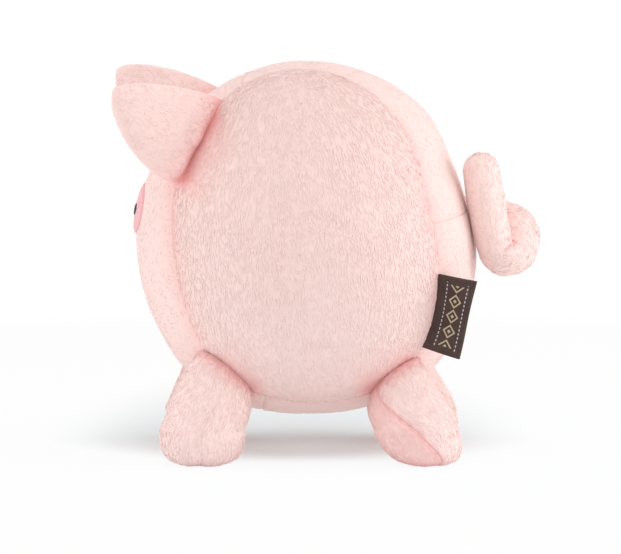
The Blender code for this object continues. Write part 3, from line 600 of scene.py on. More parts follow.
@dataclass
class Body:
    """The stuffed body: a rounded outline seen from the side, bulging to both flanks, with a seam round each
    flank.  The sizes are those of the solids that its panels replace.
    """

    centre: Array
    length: float = 0.1264
    height: float = 0.1316
    width: float = 0.1140
    upper_roundness: float = 2.0
    lower_roundness: float = 2.4
    flank_roundness: float = 2.2
    dips: tuple[tuple[float, float, float], ...] = ((0.0030, 19.0, 18.0), (0.0012, 31.0, 8.0),
                                                    (0.0017, 213.0, 15.0))
    seam_mean_share: float = 0.862
    seam_oval_share: float = 0.077
    seam_lift_share: float = 0.036
    seam_tilt_share: float = 0.025
    seam_depth: float = 0.0009
    seam_reach: float = 0.0034
    faint_share: float = 0.35
    cross_depth: float = 0.00015
    cloth: float = 0.0021
    tail_seam: float = 10.0
    forehead_seam: float = 112.0
    chin_seam: float = 255.0
    gusset_trim: float = 0.4
    tuck: float = 0.0007
    # Hollows beside the ear and leg roots, where the flank is sunk and painted shade, a deeper pink, is laid:
    # first and last angle, strength and reach.
    hollows: tuple[tuple[float, float, float, float], ...] = (
        (124.0, 154.0, 1.0, 0.0060), (231.0, 251.0, 0.75, 0.0042), (291.0, 314.0, 0.85, 0.0050))
    cheek_bulge: float = 0.0005
    cheek_angle: float = 172.0
    cheek_spread: float = 16.0
    limb_depth: float = 0.0012
    lump: float = 0.00040
    lump_size: float = 0.019
    small_lump: float = 0.00010
    small_lump_size: float = 0.007
    tuft: float = 0.00005
    tuft_size: float = 0.0016
    tuft_stretch: float = 2.6
    pucker: float = 0.00018
    pucker_size: float = 0.0036
    pucker_reach: float = 0.005
    # Strength and reach of the painted shade, a deeper pink, along the seams.
    crease_share: float = 0.36
    crease_reach: float = 0.0030
    tucked_slope: float = 1.6
    flank_cells: int = 110
    gusset_columns: int = 104
    seed: int = 11
    swelling: Swelling | None = None

    def outline(self, degrees: Array) -> Array:
        """Distance from the centre to the side outline: a superellipse less bell-shaped dips, each with its
        depth, angle and spread."""
        angle = np.radians(degrees)
        power = np.where(np.sin(angle) >= 0, self.upper_roundness, self.lower_roundness)
        total = (np.abs(np.cos(angle)) / (self.length / 2)) ** power
        total = total + (np.abs(np.sin(angle)) / (self.height / 2)) ** power
        distance = total ** (-1 / power)
        for depth, middle, spread in self.dips:
            away = (np.asarray(degrees) - middle + 180) % 360 - 180
            distance = distance - depth * np.exp(-((away / spread) ** 2))
        return distance

    def seam_share(self, degrees: Array) -> Array:
        """The seam's distance as a share of the outline's: a tilted oval, as cosines and sines of the
        angle."""
        angle = np.radians(degrees)
        share = self.seam_mean_share - self.seam_oval_share * np.cos(2 * angle)
        return share + self.seam_lift_share * np.sin(angle) - self.seam_tilt_share * np.sin(2 * angle)

    def surface(self, degrees: Array, share: Array, side: float) -> Array:
        """A place on the body: share of the outline's distance out, and as far to the side as a
        superellipse of the same roundness gives."""
        angle = np.radians(degrees)
        radius = self.outline(degrees) * share
        bulge = np.maximum(1 - np.abs(share) ** self.flank_roundness, 0) ** (1 / self.flank_roundness)
        x = side * (self.width / 2) * bulge
        return np.stack([x, radius * np.cos(angle), radius * np.sin(angle)], axis=-1) + self.centre

    def seam(self, degrees: Array, side: float) -> Array:
        """A place on the seam round a flank."""
        return self.surface(degrees, self.seam_share(degrees), side)

    def face_front(self, x: Array, z: Array) -> Array:
        """How far forward the face is at each x and z, found by halving the range 26 times."""
        low, high = np.full_like(x, -self.length), np.zeros_like(x)
        for _ in range(26):
            middle = (low + high) / 2
            up, ahead = z - self.centre[2], middle - self.centre[1]
            around = np.hypot(up, ahead) / self.outline(np.degrees(np.arctan2(up, ahead)))
            across = np.abs(x - self.centre[0]) / (self.width / 2)
            inside = across**self.flank_roundness + around**self.flank_roundness < 1
            high = np.where(inside, middle, high)
            low = np.where(inside, low, middle)
        return low

    def relief(self, points: Array, nap: Array, seed: int) -> Array:
        """Height of the stuffing's soft lumps and of the pile's tufts, as noise of three sizes."""
        lumps = self.lump * noise(points, self.lump_size, seed)
        lumps = lumps + self.small_lump * noise(points, self.small_lump_size, seed + 1)
        tufts = noise(nap / np.array([1, 1, self.tuft_stretch]), self.tuft_size, seed + 2)
        return lumps + self.tuft * tufts

    def seam_show(self, degrees: Array) -> Array:
        """How plainly the seam round the flank shows: fully at the front and rear, faintly over the back and
        under the belly."""
        upright = np.abs(np.sin(np.radians(degrees)))
        return blend(1.0, self.faint_share, smoothstep(upright, 0.45, 0.9))

    def groove(self, distance: Array, points: Array, depth: Array, seed: int) -> Array:
        """How far a seam draws the plush in: deepest at the seam and dying away with distance, uneven along
        the seam, with small puckers."""
        uneven = 1 + 0.3 * noise(points, 0.007, seed)
        pull = depth * uneven * np.exp(-((np.hypot(distance, 0.0008) / self.seam_reach) ** 1.1))
        puckers = self.pucker * noise(points, self.pucker_size,
                                      seed + 3) * np.exp(-distance / self.pucker_reach)
        return pull + puckers

    def crease(self, distance: Array) -> Array:
        """How deep in the seam a place lies, which sets the painted shade there, a deeper pink, and shortens the
        pile: highest on it, dying away over a few millimetres.
        """
        return self.crease_share * np.exp(-((distance / self.crease_reach) ** 1.4))

    def limb_hollow(self, degrees: Array, distance: Array) -> Array:
        """How deep in the hollow beside the root of an ear or a leg a place lies, from 0 to 1: the flank sinks
        its plush there and paints shade, a deeper pink, into it. Each hollow has its first and last angle, its
        strength and its reach from the seam."""
        turned = np.asarray(degrees) % 360
        total = np.zeros_like(distance)
        for low, high, strength, reach in self.hollows:
            inside = smoothstep(turned, low - 4, low + 4) * (1 - smoothstep(turned, high - 4, high + 4))
            total = total + strength * inside * np.exp(-((distance / reach) ** 1.5))
        return total

    def flank_form(self, side: Side, cells: int) -> tuple[Array, Array, Array]:
        """A flank's smooth form, as a square grid laid over the disc inside its seam.

        Args:
            side: Which flank.
            cells: The number of cells along a side of the grid.

        Returns:
            The points, the share of the way out to the seam, and the angle in degrees.
        """
        out, degrees = disc_grid(cells)
        return self.surface(degrees, self.seam_share(degrees) * out, side.value), out, degrees

    def gusset_form(self, start: float, end: float, rows: int, columns: int) -> tuple[Array, Array, Array]:
        """The smooth form of a strip between the two seams, with a little more all round that is tucked
        under.

        Args:
            start: The angle of its first cross seam.
            end: The angle of its last cross seam.
            rows: The number of cells along it.
            columns: The number of cells across it, which are finer near the seams.

        Returns:
            The points, the angle of each row, and how far the seam is from the middle at each row.
        """
        over = math.degrees(self.tuck / (self.height / 2))
        angles = np.linspace(start - over, end + over, rows + 1)[:, None]
        across = np.sin(np.linspace(-1, 1, columns + 1) * math.pi * 0.4) / math.sin(math.pi * 0.4)
        edge_x = self.seam(angles[:, 0], 1.0)[:, 0][:, None]
        x = (edge_x + self.tuck) * across[None]
        reach = np.minimum(np.abs(x) / (self.width / 2), 1)
        share = (1 - reach**self.flank_roundness) ** (1 / self.flank_roundness)
        angle = np.radians(angles)
        radius = self.outline(angles) * share
        return np.stack([x, radius * np.cos(angle), radius * np.sin(angle)],
                        axis=-1) + self.centre, angles, edge_x

    def strips(self) -> tuple[tuple[str, float, float], ...]:
        """The names of the strips, with the angles where each starts and ends."""
        return (("back", self.tail_seam, self.forehead_seam), ("face", self.forehead_seam, self.chin_seam),
                ("belly", self.chin_seam, 360 + self.tail_seam))

    def simulate(self, simulation: Simulation) -> None:
        """Lets the body swell, held along both seams, and keeps the result."""
        grids = [(self.flank_form(side, 60)[0], False) for side in Side]
        grids += [(self.gusset_form(start, end, round((end - start) / 2), 40)[0], False)
                  for _, start, end in self.strips()]
        around = np.linspace(0, 360, 361)
        seams = np.concatenate([self.seam(around, side.value) for side in Side])

        def held(points: Array) -> Array:
            """Whether each point is close to a seam."""
            return ((points[:, None] - seams[None]) ** 2).sum(axis=2).min(axis=1) < self.seam_reach**2

        self.swelling = simulation.run("body", grids, held)

    def side_panel(self, side: Side) -> Cloth:
        """A flank: its form with its swelling, its soft lumps, and the grooves at its edge."""
        smooth, out, degrees = self.flank_form(side, self.flank_cells)
        smooth = swelled(self.swelling, smooth)
        normals = grid_normals(smooth, False)
        normals *= np.sign(np.sum(normals[..., 0])) * side.value
        distance = self.seam_share(degrees) * (1 - out) * self.outline(degrees)
        nap = smooth - self.centre
        nap = np.stack([nap[..., 1], nap[..., 0], -nap[..., 2]], axis=-1)
        show, hollow = self.seam_show(degrees), self.limb_hollow(degrees, distance)
        height = self.relief(smooth, nap, self.seed) - self.groove(distance, smooth,
                                                                   self.seam_depth * show, 21)
        height = height - self.limb_depth * hollow * smoothstep(distance, 0.0, 0.003)
        lay = np.zeros_like(smooth) + np.array([0, 0.14, -1])
        back = smooth - normals * self.cloth
        # Painted shade, a deeper pink, along the seam and in the hollows beside the ear and leg roots.
        crease = np.maximum(self.crease(distance) * show, 0.95 * hollow**0.6)
        return Cloth(smooth + normals * height[..., None], back, lay, nap, crease, 1 - 0.3 * crease)

    def gusset(self, start: float, end: float) -> Cloth:
        """A strip between the two flanks' seams, from one cross seam to the next."""
        smooth, angles, edge_x = self.gusset_form(start, end, round((end - start) * 0.95),
                                                  self.gusset_columns)
        x = smooth[..., 0]
        smooth = swelled(self.swelling, smooth)
        normals = grid_normals(smooth, False)
        normals *= np.sign(np.sum(normals * (smooth - self.centre)))
        run = self.outline(angles) * np.radians(angles - start)
        nap = np.stack([x, 0 * x, run + 0 * x], axis=-1)
        beside = edge_x - np.abs(x)
        ends = np.minimum(np.radians(angles - start),
                          np.radians(end - angles)) * self.outline(angles) + 0 * x
        tucked = np.maximum(-np.minimum(beside, ends), 0)
        beside, ends = np.abs(beside), np.abs(ends)
        show = self.seam_show(angles)
        height = self.relief(smooth, nap, self.seed) - self.groove(beside, smooth,
                                                                   self.seam_depth * show, 21)
        height = height - self.groove(ends, smooth, self.cross_depth, 23) - self.tucked_slope * tucked
        height = height + self.cheek_bulge * np.exp(-(((angles - self.cheek_angle) / self.cheek_spread) ** 2))
        forward = np.gradient(smooth, axis=0)
        lay = forward * np.where(angles[..., None] < self.forehead_seam, -1.0, 1.0)
        # Painted shade, a deeper pink, along the seams and faintly at the cross seams, over a slight even
        # deepening of the whole strip.
        crease = 0.03 + np.maximum(self.crease(beside) * show, 0.12 * self.crease(ends))
        trim = np.full_like(crease, self.gusset_trim)
        return Cloth(smooth + normals * height[..., None], smooth - normals * self.cloth, lay,
                     nap, crease, trim)

    def build(self, plush: bpy.types.Material, pile: Pile) -> None:
        """Makes both flanks and the three strips between them."""
        for side in Side:
            node = f"{side.word}_side_panel"
            place(sew(f"{node}_plush", self.side_panel(side), pile, plush, 3), "body", node, 0.85)
        for number, (word, start, end) in enumerate(self.strips()):
            made = sew(f"{word}_panel_plush", self.gusset(start, end), pile, plush, 5 + number)
            place(made, "body", f"{word}_panel", 0.85)


def place(made: bpy.types.Object, body: str, node: str, fill: float | None = None, slot: str = "plush",
          bend: tuple[Array, Array] | None = None) -> bpy.types.Object:
    """Attaches a piece to the body that it moves with, unless it bends, and hides the plain solid that it stands
    for.

    Args:
        made: The piece.
        body: The body that it moves with.
        node: The plain solid that it replaces.
        fill: Not used.
        slot: Not used.
        bend: Two points, given for a piece that bends; such a piece is not attached to a body, only has its place
            baked into its points, and the points are not used.

    Returns:
        The piece.
    """
    if bend is None:
        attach(made, body)
    else:
        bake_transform(made)
    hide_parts(node)
    LOG.info("%s: %d faces, moves with %s", made.name, len(made.data.polygons), body)
    return made


# Legs.


@dataclass
class Leg:
    """A leg: a pod whose rings turn from the seam's direction at the root to the floor's at the foot."""

    body: Body
    end: End
    side: Side
    root_angles: tuple[float, float]
    foot_y: float
    front_swell: float
    rear_swell: float
    foot_roundness: float
    sole_trail: float
    seam_depth: float
    seam_start: float
    seam_end: float
    front_shade: float
    seed: int
    foot_x: float = 0.0350
    foot_half_length: float = 0.0158
    foot_half_width: float = 0.0140
    foot_height: float = 0.0135
    sole_cut: float = 0.0005
    root_half_thickness: float = 0.0062
    cloth: float = 0.0018
    tuck: float = 0.0006
    start_share: float = -0.10
    shoulder: float = 0.06
    rows: int = 78
    columns: int = 52
    swelling: Swelling | None = None

    def __post_init__(self) -> None:
        """Works out the root on the seam, always on the pig's left: the right leg is mirrored at the end."""
        upper, lower = (self.body.seam(np.array(a), 1.0) for a in self.root_angles)
        self.root = (upper + lower) / 2
        self.along = unit(lower - upper)
        self.root_half_length = np.linalg.norm(lower - upper) / 2
        foot_z = self.foot_height + self.body.centre[2] - (0.0155 + self.body.height / 2)
        self.foot = np.array([self.foot_x, self.foot_y + self.body.centre[1], foot_z])
        across = unit(np.cross(self.along, self.foot - self.root))
        self.across = across * np.sign(across[0])
        self.fore_aft = np.array([0.0, np.sign(self.along[1]), 0.0])

    def points(self, t: Array, degrees: Array, inset: float) -> Array:
        """Places on the leg. From t = 0 at the root to 1 at the foot's middle the rings swell along a
        sine, raised to front_swell at the fore end and rear_swell at the rear end, and from 1 to 2 they
        close under the sole along a superellipse that is cut flat. Above the shoulder they are drawn in
        to the seam."""
        t, degrees = np.broadcast_arrays(t, degrees)
        swell = np.sin(np.clip(t, 0, 1) * math.pi / 2)[..., None]
        rearward = (1 + self.fore_aft[1] * np.cos(np.radians(degrees))[..., None]) / 2
        slow = swell ** blend(self.front_swell, self.rear_swell, rearward)
        into_root = np.clip((self.shoulder - t) / (self.shoulder - self.start_share), 0, 1)[..., None]
        drawn_in = 0.12 + 0.88 * np.sqrt(1 - into_root**2)
        length = (blend(self.root_half_length, self.foot_half_length, slow) - inset) * drawn_in
        width = (blend(self.root_half_thickness, self.foot_half_width, swell) - inset) * drawn_in
        along = unit(blend(self.along, self.fore_aft, swell))
        across = unit(blend(self.across, np.array([1.0, 0, 0]), swell))
        angle = np.radians(degrees)[..., None]
        offset = along * length * np.cos(angle) + across * width * np.sin(angle)
        shaft = blend(self.root, self.foot, t[..., None]) + offset
        turn = (np.clip(t - 1, 0, 1) * math.pi / 2)[..., None]
        spread = np.maximum(np.cos(turn), 0) ** (2 / self.foot_roundness)
        depth = (self.foot_height + self.sole_cut - inset) * np.sin(turn) ** (2 / self.foot_roundness)
        depth = np.minimum(depth, self.foot_height - inset)
        foot = self.foot + offset * spread + self.sole_trail * np.sin(turn) * np.array([0, 1, 0])
        foot = foot - depth * np.array([0, 0, 1])
        return np.where(t[..., None] <= 1, shaft, foot)

    def rows_along(self) -> Array:
        """The values of t for the rows, from just inside the body to the middle of the sole."""
        shaft = blend(self.start_share, 1, np.linspace(0, 1, 46) ** 1.3)
        return np.concatenate([shaft, 1 + np.linspace(0, 1, self.rows - 45)[1:] ** 0.9])[:, None]

    def simulate(self, simulation: Simulation) -> None:
        """Lets the leg swell, held at its root and its sole, and keeps the result."""
        around = np.linspace(0, 360, 48, endpoint=False)[None]
        form = self.points(self.rows_along(), around, 0.0)[::2]

        def held(points: Array) -> Array:
            """Whether each point is in the root or the sole."""
            root = np.linalg.norm(points - self.root, axis=1) < self.root_half_length + 0.002
            return root & ((points - self.root) @ unit(self.foot - self.root) < 0.003) | (points[:, 2] < 0.0015)

        self.swelling = simulation.run(f"{self.end.value}_leg", [(form, True)], held)

    def panel(self, start: float, shade: float) -> Cloth:
        """Half of the leg's plush, from the angle start round to the seam on the other side. The seam
        on the outer side runs from seam_start degrees at the root to seam_end at the sole. shade is
        added to the crease value."""
        t = self.rows_along()
        girth = np.pi * (self.foot_half_length + self.foot_half_width) / 2
        across = np.linspace(-self.tuck / girth, 1 + self.tuck / girth, self.columns + 1)[None]
        outer = np.abs((start + 180 * across) % 360 - 90) if start >= 0 else np.abs(start + 180 * across - 90)
        lean = blend(self.seam_start, self.seam_end, smoothstep(t, 0.1, 1.7)) * np.clip(1 - outer / 90, 0, 1)
        degrees = start + 180 * across + lean
        smooth, back = self.points(t, degrees, 0.0), self.points(t, degrees, self.cloth)
        normals = unit(smooth - back)
        moved = swelled(self.swelling, smooth) - smooth
        smooth, back = smooth + moved, back + moved
        ring = self.points(np.minimum(t, 1.0), degrees, 0.0) - self.foot
        nap = np.stack([ring[..., 0], ring[..., 1], t * 0.026 + 0 * degrees], axis=-1)
        distance = np.minimum(across, 1 - across) * girth + 0 * t
        tucked, distance = np.maximum(-distance, 0), np.abs(distance)
        depth = self.seam_depth * np.exp(-((distance / 0.0020) ** 1.1)) + self.body.tucked_slope * tucked
        from_root = np.maximum(t, 0) * np.linalg.norm(self.foot - self.root)
        pucker = 0.0005 * noise(smooth * np.array([1, 1, 0.5]), 0.0042, self.seed) * smoothstep(t, 1.2, 1.6)
        gather = 0.0003 * noise(np.stack([np.cos(np.radians(degrees)), np.sin(np.radians(degrees)), 0 * degrees],
                                         axis=-1), 0.35, self.seed + 7)
        gather = gather * smoothstep(t, 1.25, 1.6) * (1 - smoothstep(t, 1.8, 2))
        height = self.body.relief(smooth, nap, self.seed) - depth + pucker + gather
        height = height * (1 - smoothstep(t, 1.93, 2.0))
        # Painted shade, a deeper pink: at the root, under the sole, along the seam, and over the whole panel by
        # shade.
        root = np.exp(-((from_root / 0.0020) ** 1.5))
        sole = 0.28 * smoothstep(t, 1.35, 1.7)
        line = 0.35 * np.exp(-((distance / 0.0022) ** 1.4)) * min(self.seam_depth / 0.0006, 1)
        crease = np.clip(np.maximum(np.maximum(0.6 * root, sole), line) + shade + 0 * degrees, 0, 1)
        lay = np.gradient(smooth, axis=0)
        trim = 1 - 0.6 * smoothstep(t, 1.3, 1.8) + 0 * degrees
        return Cloth(smooth + normals * height[..., None], back, lay, nap, crease, trim)

    def build(self, plush: bpy.types.Material, pile: Pile) -> None:
        """Makes the front and the rear panel."""
        body = f"{self.end.value}_{self.side.word}_leg"
        flip = np.array([self.side.value, 1, 1])
        ahead, behind = (90.0, -90.0) if self.fore_aft[1] > 0 else (-90.0, 90.0)
        start = self.root - (self.foot - self.root) * 0.06
        end = blend(self.root, self.foot, 0.55)
        for word, first, shade in (("front", ahead, self.front_shade), ("rear", behind, 0.0)):
            cloth = self.panel(first, shade)
            if self.side is Side.RIGHT:
                cloth = cloth.mirrored()
            node = f"{body}_{word}_panel"
            made = sew(f"{node}_plush", cloth, pile, plush, self.seed + 1, floor=True)
            place(made, body, node, 0.9, bend=(start * flip, end * flip))


# Ears.


@dataclass
class Ear:
    """An ear: two cuts of plush back to back, a rounded triangle sewn along a stretch of the seam."""

    body: Body
    side: Side
    spread: float
    reach: float
    rise: float
    seed: int
    root_angles: tuple[float, float] = (154.5, 121.0)
    half_thickness: float = 0.0036
    overhang: tuple[float, float, float] = (0.0046, 0.0032, -0.0012)
    pinch: float = 0.0012
    lower_taper_power: float = 2.4
    lower_tip_power: float = 0.62
    lower_bulge: float = 0.09
    calm_share: float = 0.4
    swelling: Swelling | None = None
    cup: float = 0.0030
    taper_power: float = 1.6
    tip_power: float = 0.66
    root_start: float = -0.13
    rows: int = 64
    columns: int = 60

    def __post_init__(self) -> None:
        """Works out the root on the seam, on the pig's left."""
        bottom, top = (self.body.seam(np.array(a), 1.0) for a in self.root_angles)
        self.root, self.half = (bottom + top) / 2, (top - bottom) / 2
        self.out = np.array([self.spread, -self.reach, self.rise])
        normal = unit(np.cross(self.half, self.out))
        self.normal = normal * np.sign(normal[0])

    def simulate(self, simulation: Simulation) -> None:
        """Lets the ear swell, held at its root, and keeps the result."""
        plain = replace(self, calm_share=0.0)
        grids = [(plain.panel(sign).points[::2, ::2], False) for sign in (1.0, -1.0)]
        away = unit(self.out)
        self.swelling = simulation.run(f"{self.side.word}_ear", grids,
                                       lambda p: (p - self.root) @ away < 0.004)

    def panel(self, sign: float) -> Cloth:
        """The outer (sign 1) or inner (sign -1) cut. Its width falls from root to tip as (1 - t^a)^b,
        with a bulge below; it is cupped along a parabola, and its thickness is rounded off towards the
        rim."""
        steps = np.linspace(0, 1, self.rows + 1)[:, None]
        t = blend(self.root_start, 1.0, 1 - (1 - steps) ** 1.35)
        across = np.sin(np.linspace(-1, 1, self.columns + 1) * math.pi / 2)[None]
        ahead = np.clip(t, 0, 1)
        upper = np.maximum(1 - ahead**self.taper_power, 0) ** self.tip_power
        lower = np.maximum(1 - ahead**self.lower_taper_power, 0) ** self.lower_tip_power
        lower = lower + self.lower_bulge * np.sin(math.pi * np.clip(ahead / 0.8, 0, 1) ** 0.6)
        width = blend(lower, upper, smoothstep(across, -1.0, 1.0))
        cup = self.cup * (across**2 - 1) * width * np.sin(math.pi * ahead / 2)
        middle = self.root + self.half * (across * width)[..., None] + self.out * t[..., None]
        middle = middle - self.normal * cup[..., None]
        bend = 0.0012 * noise(middle, 0.018, self.seed) * ahead
        middle = middle + self.normal * bend[..., None]
        roundness = blend(3.2, 2.0, (across + 1) / 2)
        round_off = np.sqrt(np.maximum(1 - np.abs(across) ** roundness, 0)) * np.sqrt(np.maximum(1 - ahead**5, 0))
        stuffed = self.half_thickness * (1 - 0.25 * ahead) * round_off
        toward = self.normal * sign
        away = middle + toward * stuffed[..., None]
        moved = swelled(self.swelling, away) - away
        away, middle = away + moved, middle + moved
        length = np.linalg.norm(self.out)
        nap = np.stack([across * width * np.linalg.norm(self.half), stuffed, t * length + 0 * across], axis=-1)
        rim_mask = smoothstep(round_off, 0.0, 0.6)
        height = self.calm_share * self.body.relief(away, nap, self.seed + 1) * rim_mask
        points = away + toward * height[..., None]
        back = middle + toward * (stuffed * 0.06)[..., None]
        if sign > 0:
            from_root = np.maximum(t, 0) * length
            uneven = 1 + 0.55 * noise(self.half * across[..., None] + 0 * middle, 0.0065, self.seed + 3, 1)
            roll = np.exp(-(((from_root - 0.0048) / 0.0040) ** 2)) * blend(1.0, 0.4, (across + 1) / 2)
            roll = roll * uneven * np.sqrt(1 - across**2)
            sunk = self.pinch * np.exp(-((from_root / 0.0028) ** 2)) * round_off
            points = points + np.array(self.overhang) * roll[..., None] - toward * sunk[..., None]
        # Painted shade, a deeper pink, near the root, over a slight even deepening of the whole ear.
        crease = 0.06 + 0.84 * np.exp(-((np.maximum(t, 0) * length / 0.0060) ** 1.4)) + 0 * across
        lay = np.zeros_like(points) + self.out
        lay = lay + (self.half * across[..., None] * 0.35) * (1 - steps[..., None])
        return Cloth(points, back, lay, nap, crease, blend(0.12, 0.7, rim_mask**2))

    def build(self, plush: bpy.types.Material, pile: Pile) -> None:
        """Makes the outer and the inner cut."""
        body = f"{self.side.word}_ear"
        flip = np.array([self.side.value, 1, 1])
        for word, sign in (("outer", 1.0), ("inner", -1.0)):
            cloth = self.panel(sign)
            if self.side is Side.RIGHT:
                cloth = cloth.mirrored()
            made = sew(f"{body}_{word}_panel_plush", cloth, pile, plush, self.seed)
            start, end = self.root - self.out * 0.08, self.root + self.out * 0.35
            place(made, body, f"{body}_{word}_panel", 0.5, bend=(start * flip, end * flip))


# Tail.


@dataclass
class Tail:
    """The curled tail: a stub out of the back seam, one turn down and round, and a rise to a blunt tip."""

    body: Body
    root_angle: float = 7.0
    radius: float = 0.0073
    tip_share: float = 0.95
    stub: float = 0.0140
    stub_drop: float = 0.0018
    stub_shift: float = 0.0045
    turn_half_width: float = 0.0056
    turn_half_height: float = 0.0068
    turn_angle: float = 240.0
    side_shift: float = 0.0170
    rise: float = 0.0370
    rise_lean: float = 0.0066
    rise_shift: float = 0.0020
    ease: float = 0.0044
    cloth: float = 0.0016
    inside: float = 0.0040
    rows: int = 150
    columns: int = 64
    seed: int = 81
    swelling: Swelling | None = None

    def corners(self) -> Array:
        """The points that the tail's line runs through: its stub, an oval turn that also carries it
        across, most of all at first, and the rise."""
        angle = np.radians(self.root_angle)
        out = self.body.outline(np.array(self.root_angle))
        root = self.body.centre + np.array([0, out * np.cos(angle), out * np.sin(angle)])
        self.root = root
        stub_end = root + np.array([-self.stub_shift, self.stub, -self.stub_drop])
        share = np.linspace(0, 1, 9)[1:, None]
        turn = np.radians(90 - self.turn_angle * share)
        centre = stub_end - np.array([0, 0, self.turn_half_height])
        sweep = np.concatenate([self.side_shift * (1 - (1 - share) ** 2), self.turn_half_width * np.cos(turn),
                                self.turn_half_height * np.sin(turn)], axis=1)
        rising = np.array([self.rise_shift, -self.rise_lean, self.rise]) * np.linspace(0, 1, 5)[1:, None]
        around = centre + sweep
        return np.concatenate([[root - np.array([0, self.stub, 0]), root, stub_end], around, around[-1] + rising])

    def line(self) -> Array:
        """An even, smooth line through the corners: a Catmull-Rom curve, then each point the mean of its
        neighbours, weighted by a bell of width ease."""
        points = self.corners()
        padded = np.concatenate([[2 * points[0] - points[1]], points, [2 * points[-1] - points[-2]]])
        t = np.linspace(0, 1, 9)[:-1, None, None]
        a, b, c, d = (padded[k : len(padded) - 3 + k][None] for k in range(4))
        curve = 2 * b + (c - a) * t + (2 * a - 5 * b + 4 * c - d) * t**2 + (3 * b - a - 3 * c + d) * t**3
        curve = np.concatenate([curve.transpose(1, 0, 2).reshape(-1, 3) / 2, points[-1:]])
        even = self.evenly(curve, 200)
        step = np.linalg.norm(np.diff(even, axis=0), axis=1).mean()
        longer = np.concatenate([2 * even[0] - even[:0:-1], even, 2 * even[-1] - even[-2::-1]])
        place_of = np.arange(200)[:, None] * step - (np.arange(len(longer)) - 199)[None] * step
        weight = np.exp(-((place_of / self.ease) ** 2) / 2)
        return weight @ longer / weight.sum(axis=1, keepdims=True)

    @staticmethod
    def evenly(line: Array, count: int, start: float = 0.0, cut: float = 0.0) -> Array:
        """Points at even steps along a line, from start to cut short of its end."""
        reach = np.concatenate([[0], np.cumsum(np.linalg.norm(np.diff(line, axis=0), axis=1))])
        at = np.linspace(start, reach[-1] - cut, count)
        return np.stack([np.interp(at, reach, line[:, k]) for k in range(3)], axis=1)

    def simulate(self, simulation: Simulation) -> None:
        """Lets the tail swell, held at its root, and keeps the result."""
        form = self.cover().back[::2, ::2]
        root = self.corners()[1]
        self.swelling = simulation.run("tail", [(form, True)],
                                       lambda p: np.linalg.norm(p - root, axis=1) < 0.010)

    def cover(self) -> Cloth:
        """A tube round the line, with folds on the inside of its bend and a rounded, closed tip."""
        centres = self.evenly(self.line(), self.rows, self.stub - self.inside, self.tip_share * self.radius)
        ahead = unit(np.gradient(centres, axis=0))
        sides = np.zeros_like(centres)
        side = np.array([1.0, 0, 0])
        for row in range(self.rows):
            side = unit(side - ahead[row] * (side @ ahead[row]))
            sides[row] = side
        others = np.cross(ahead, sides)
        step = np.linalg.norm(np.diff(centres, axis=0), axis=1).mean()
        run = np.arange(self.rows) * step
        bend = np.gradient(ahead, axis=0) / step
        cap = np.radians(np.linspace(0, 90, 13)[1:])
        centres = np.concatenate([centres, np.repeat(centres[-1:], 12, axis=0)])
        ahead, sides, others = (np.concatenate([v, np.repeat(v[-1:], 12, axis=0)]) for v in (ahead, sides, others))
        bend = np.concatenate([bend, np.zeros((12, 3))])
        shrink = np.concatenate([np.ones(self.rows), np.cos(cap)])[:, None, None]
        lift = np.concatenate([np.zeros(self.rows), np.sin(cap)])[:, None, None]
        run = np.concatenate([run, run[-1] + self.radius * cap])
        radius = self.radius * blend(1, self.tip_share,
                                     np.clip(run / run[self.rows - 1], 0, 1) ** 2)[:, None, None]
        around = np.linspace(0, 2 * math.pi, self.columns, endpoint=False)[None, :, None]
        circle = np.cos(around) * sides[:, None] + np.sin(around) * others[:, None]
        direction = circle * shrink + ahead[:, None] * lift
        smooth = centres[:, None] + radius * direction
        back = centres[:, None] + (radius - self.cloth) * direction
        moved = swelled(self.swelling, back) - back
        smooth, back = smooth + moved, back + moved
        nap = np.concatenate([radius * np.cos(around), radius * np.sin(around)], axis=2)
        nap = np.concatenate([nap, np.repeat(run[:, None, None], self.columns, axis=1)], axis=2)
        inward = np.clip(np.sum(bend[:, None] * circle, axis=2) * self.radius, 0, 1)
        folds = inward * np.sin(2 * math.pi * run[:, None] / 0.0043 + 1.5 * noise(smooth, 0.01, self.seed))
        height = 1.2 * self.body.relief(smooth, nap, self.seed) + 0.00035 * folds
        height = height + 0.0005 * noise(smooth, 0.0065, self.seed + 4)
        fade = 1 - smoothstep(run[:, None], run[-1] - 0.0008, run[-1])
        root = np.exp(-((np.maximum(run[:, None] - self.inside, 0) / 0.006) ** 2))
        # Painted shade, a deeper pink, at the root and on the inside of the bend.
        crease = np.maximum(0.65 * root, 0.6 * inward) + 0 * height
        lay = np.repeat(ahead[:, None], self.columns, axis=1)
        points = smooth + direction * (height * fade)[..., None]
        trim = blend(0.3, 0.85, fade) + 0 * height
        return Cloth(points, back, lay, nap, crease, trim, wrap=True, closed_end=True)

    def build(self, plush: bpy.types.Material, pile: Pile) -> None:
        """Makes the tail's cover."""
        made = sew("tail_cover_plush", self.cover(), pile, plush, self.seed)
        place(made, "tail", "tail_cover", 0.8, bend=self.bend())

    def bend(self) -> tuple[Array, Array]:
        """Two points by the tail's root: 1 mm in towards the head and 8 mm out towards the rear."""
        return self.root - np.array([0, 0.001, 0]), self.root + np.array([0, 0.008, 0])

    def fill(self, fibre: bpy.types.Material) -> None:
        """Makes the stuffing: the cover's inside drawn in a little towards its middle line, with soft
        lumps."""
        inside = self.cover().back
        middle = inside.mean(axis=1, keepdims=True)
        middle[self.rows :] = middle[self.rows - 1]
        share = 0.93 - 0.03 * noise(inside, 0.005, self.seed + 10)
        start = np.repeat(middle[:1], self.columns, axis=1)
        points = np.concatenate([start, blend(middle, inside, share[..., None])])
        faces = grid_faces(len(points), self.columns, True)
        made = make_object("tail_stuffing_fibre", points.reshape(-1, 3), [faces], fibre)
        close_up(made)
        place(made, "tail", "tail_stuffing", 0.8, "stuffing", bend=self.bend())


# Face.


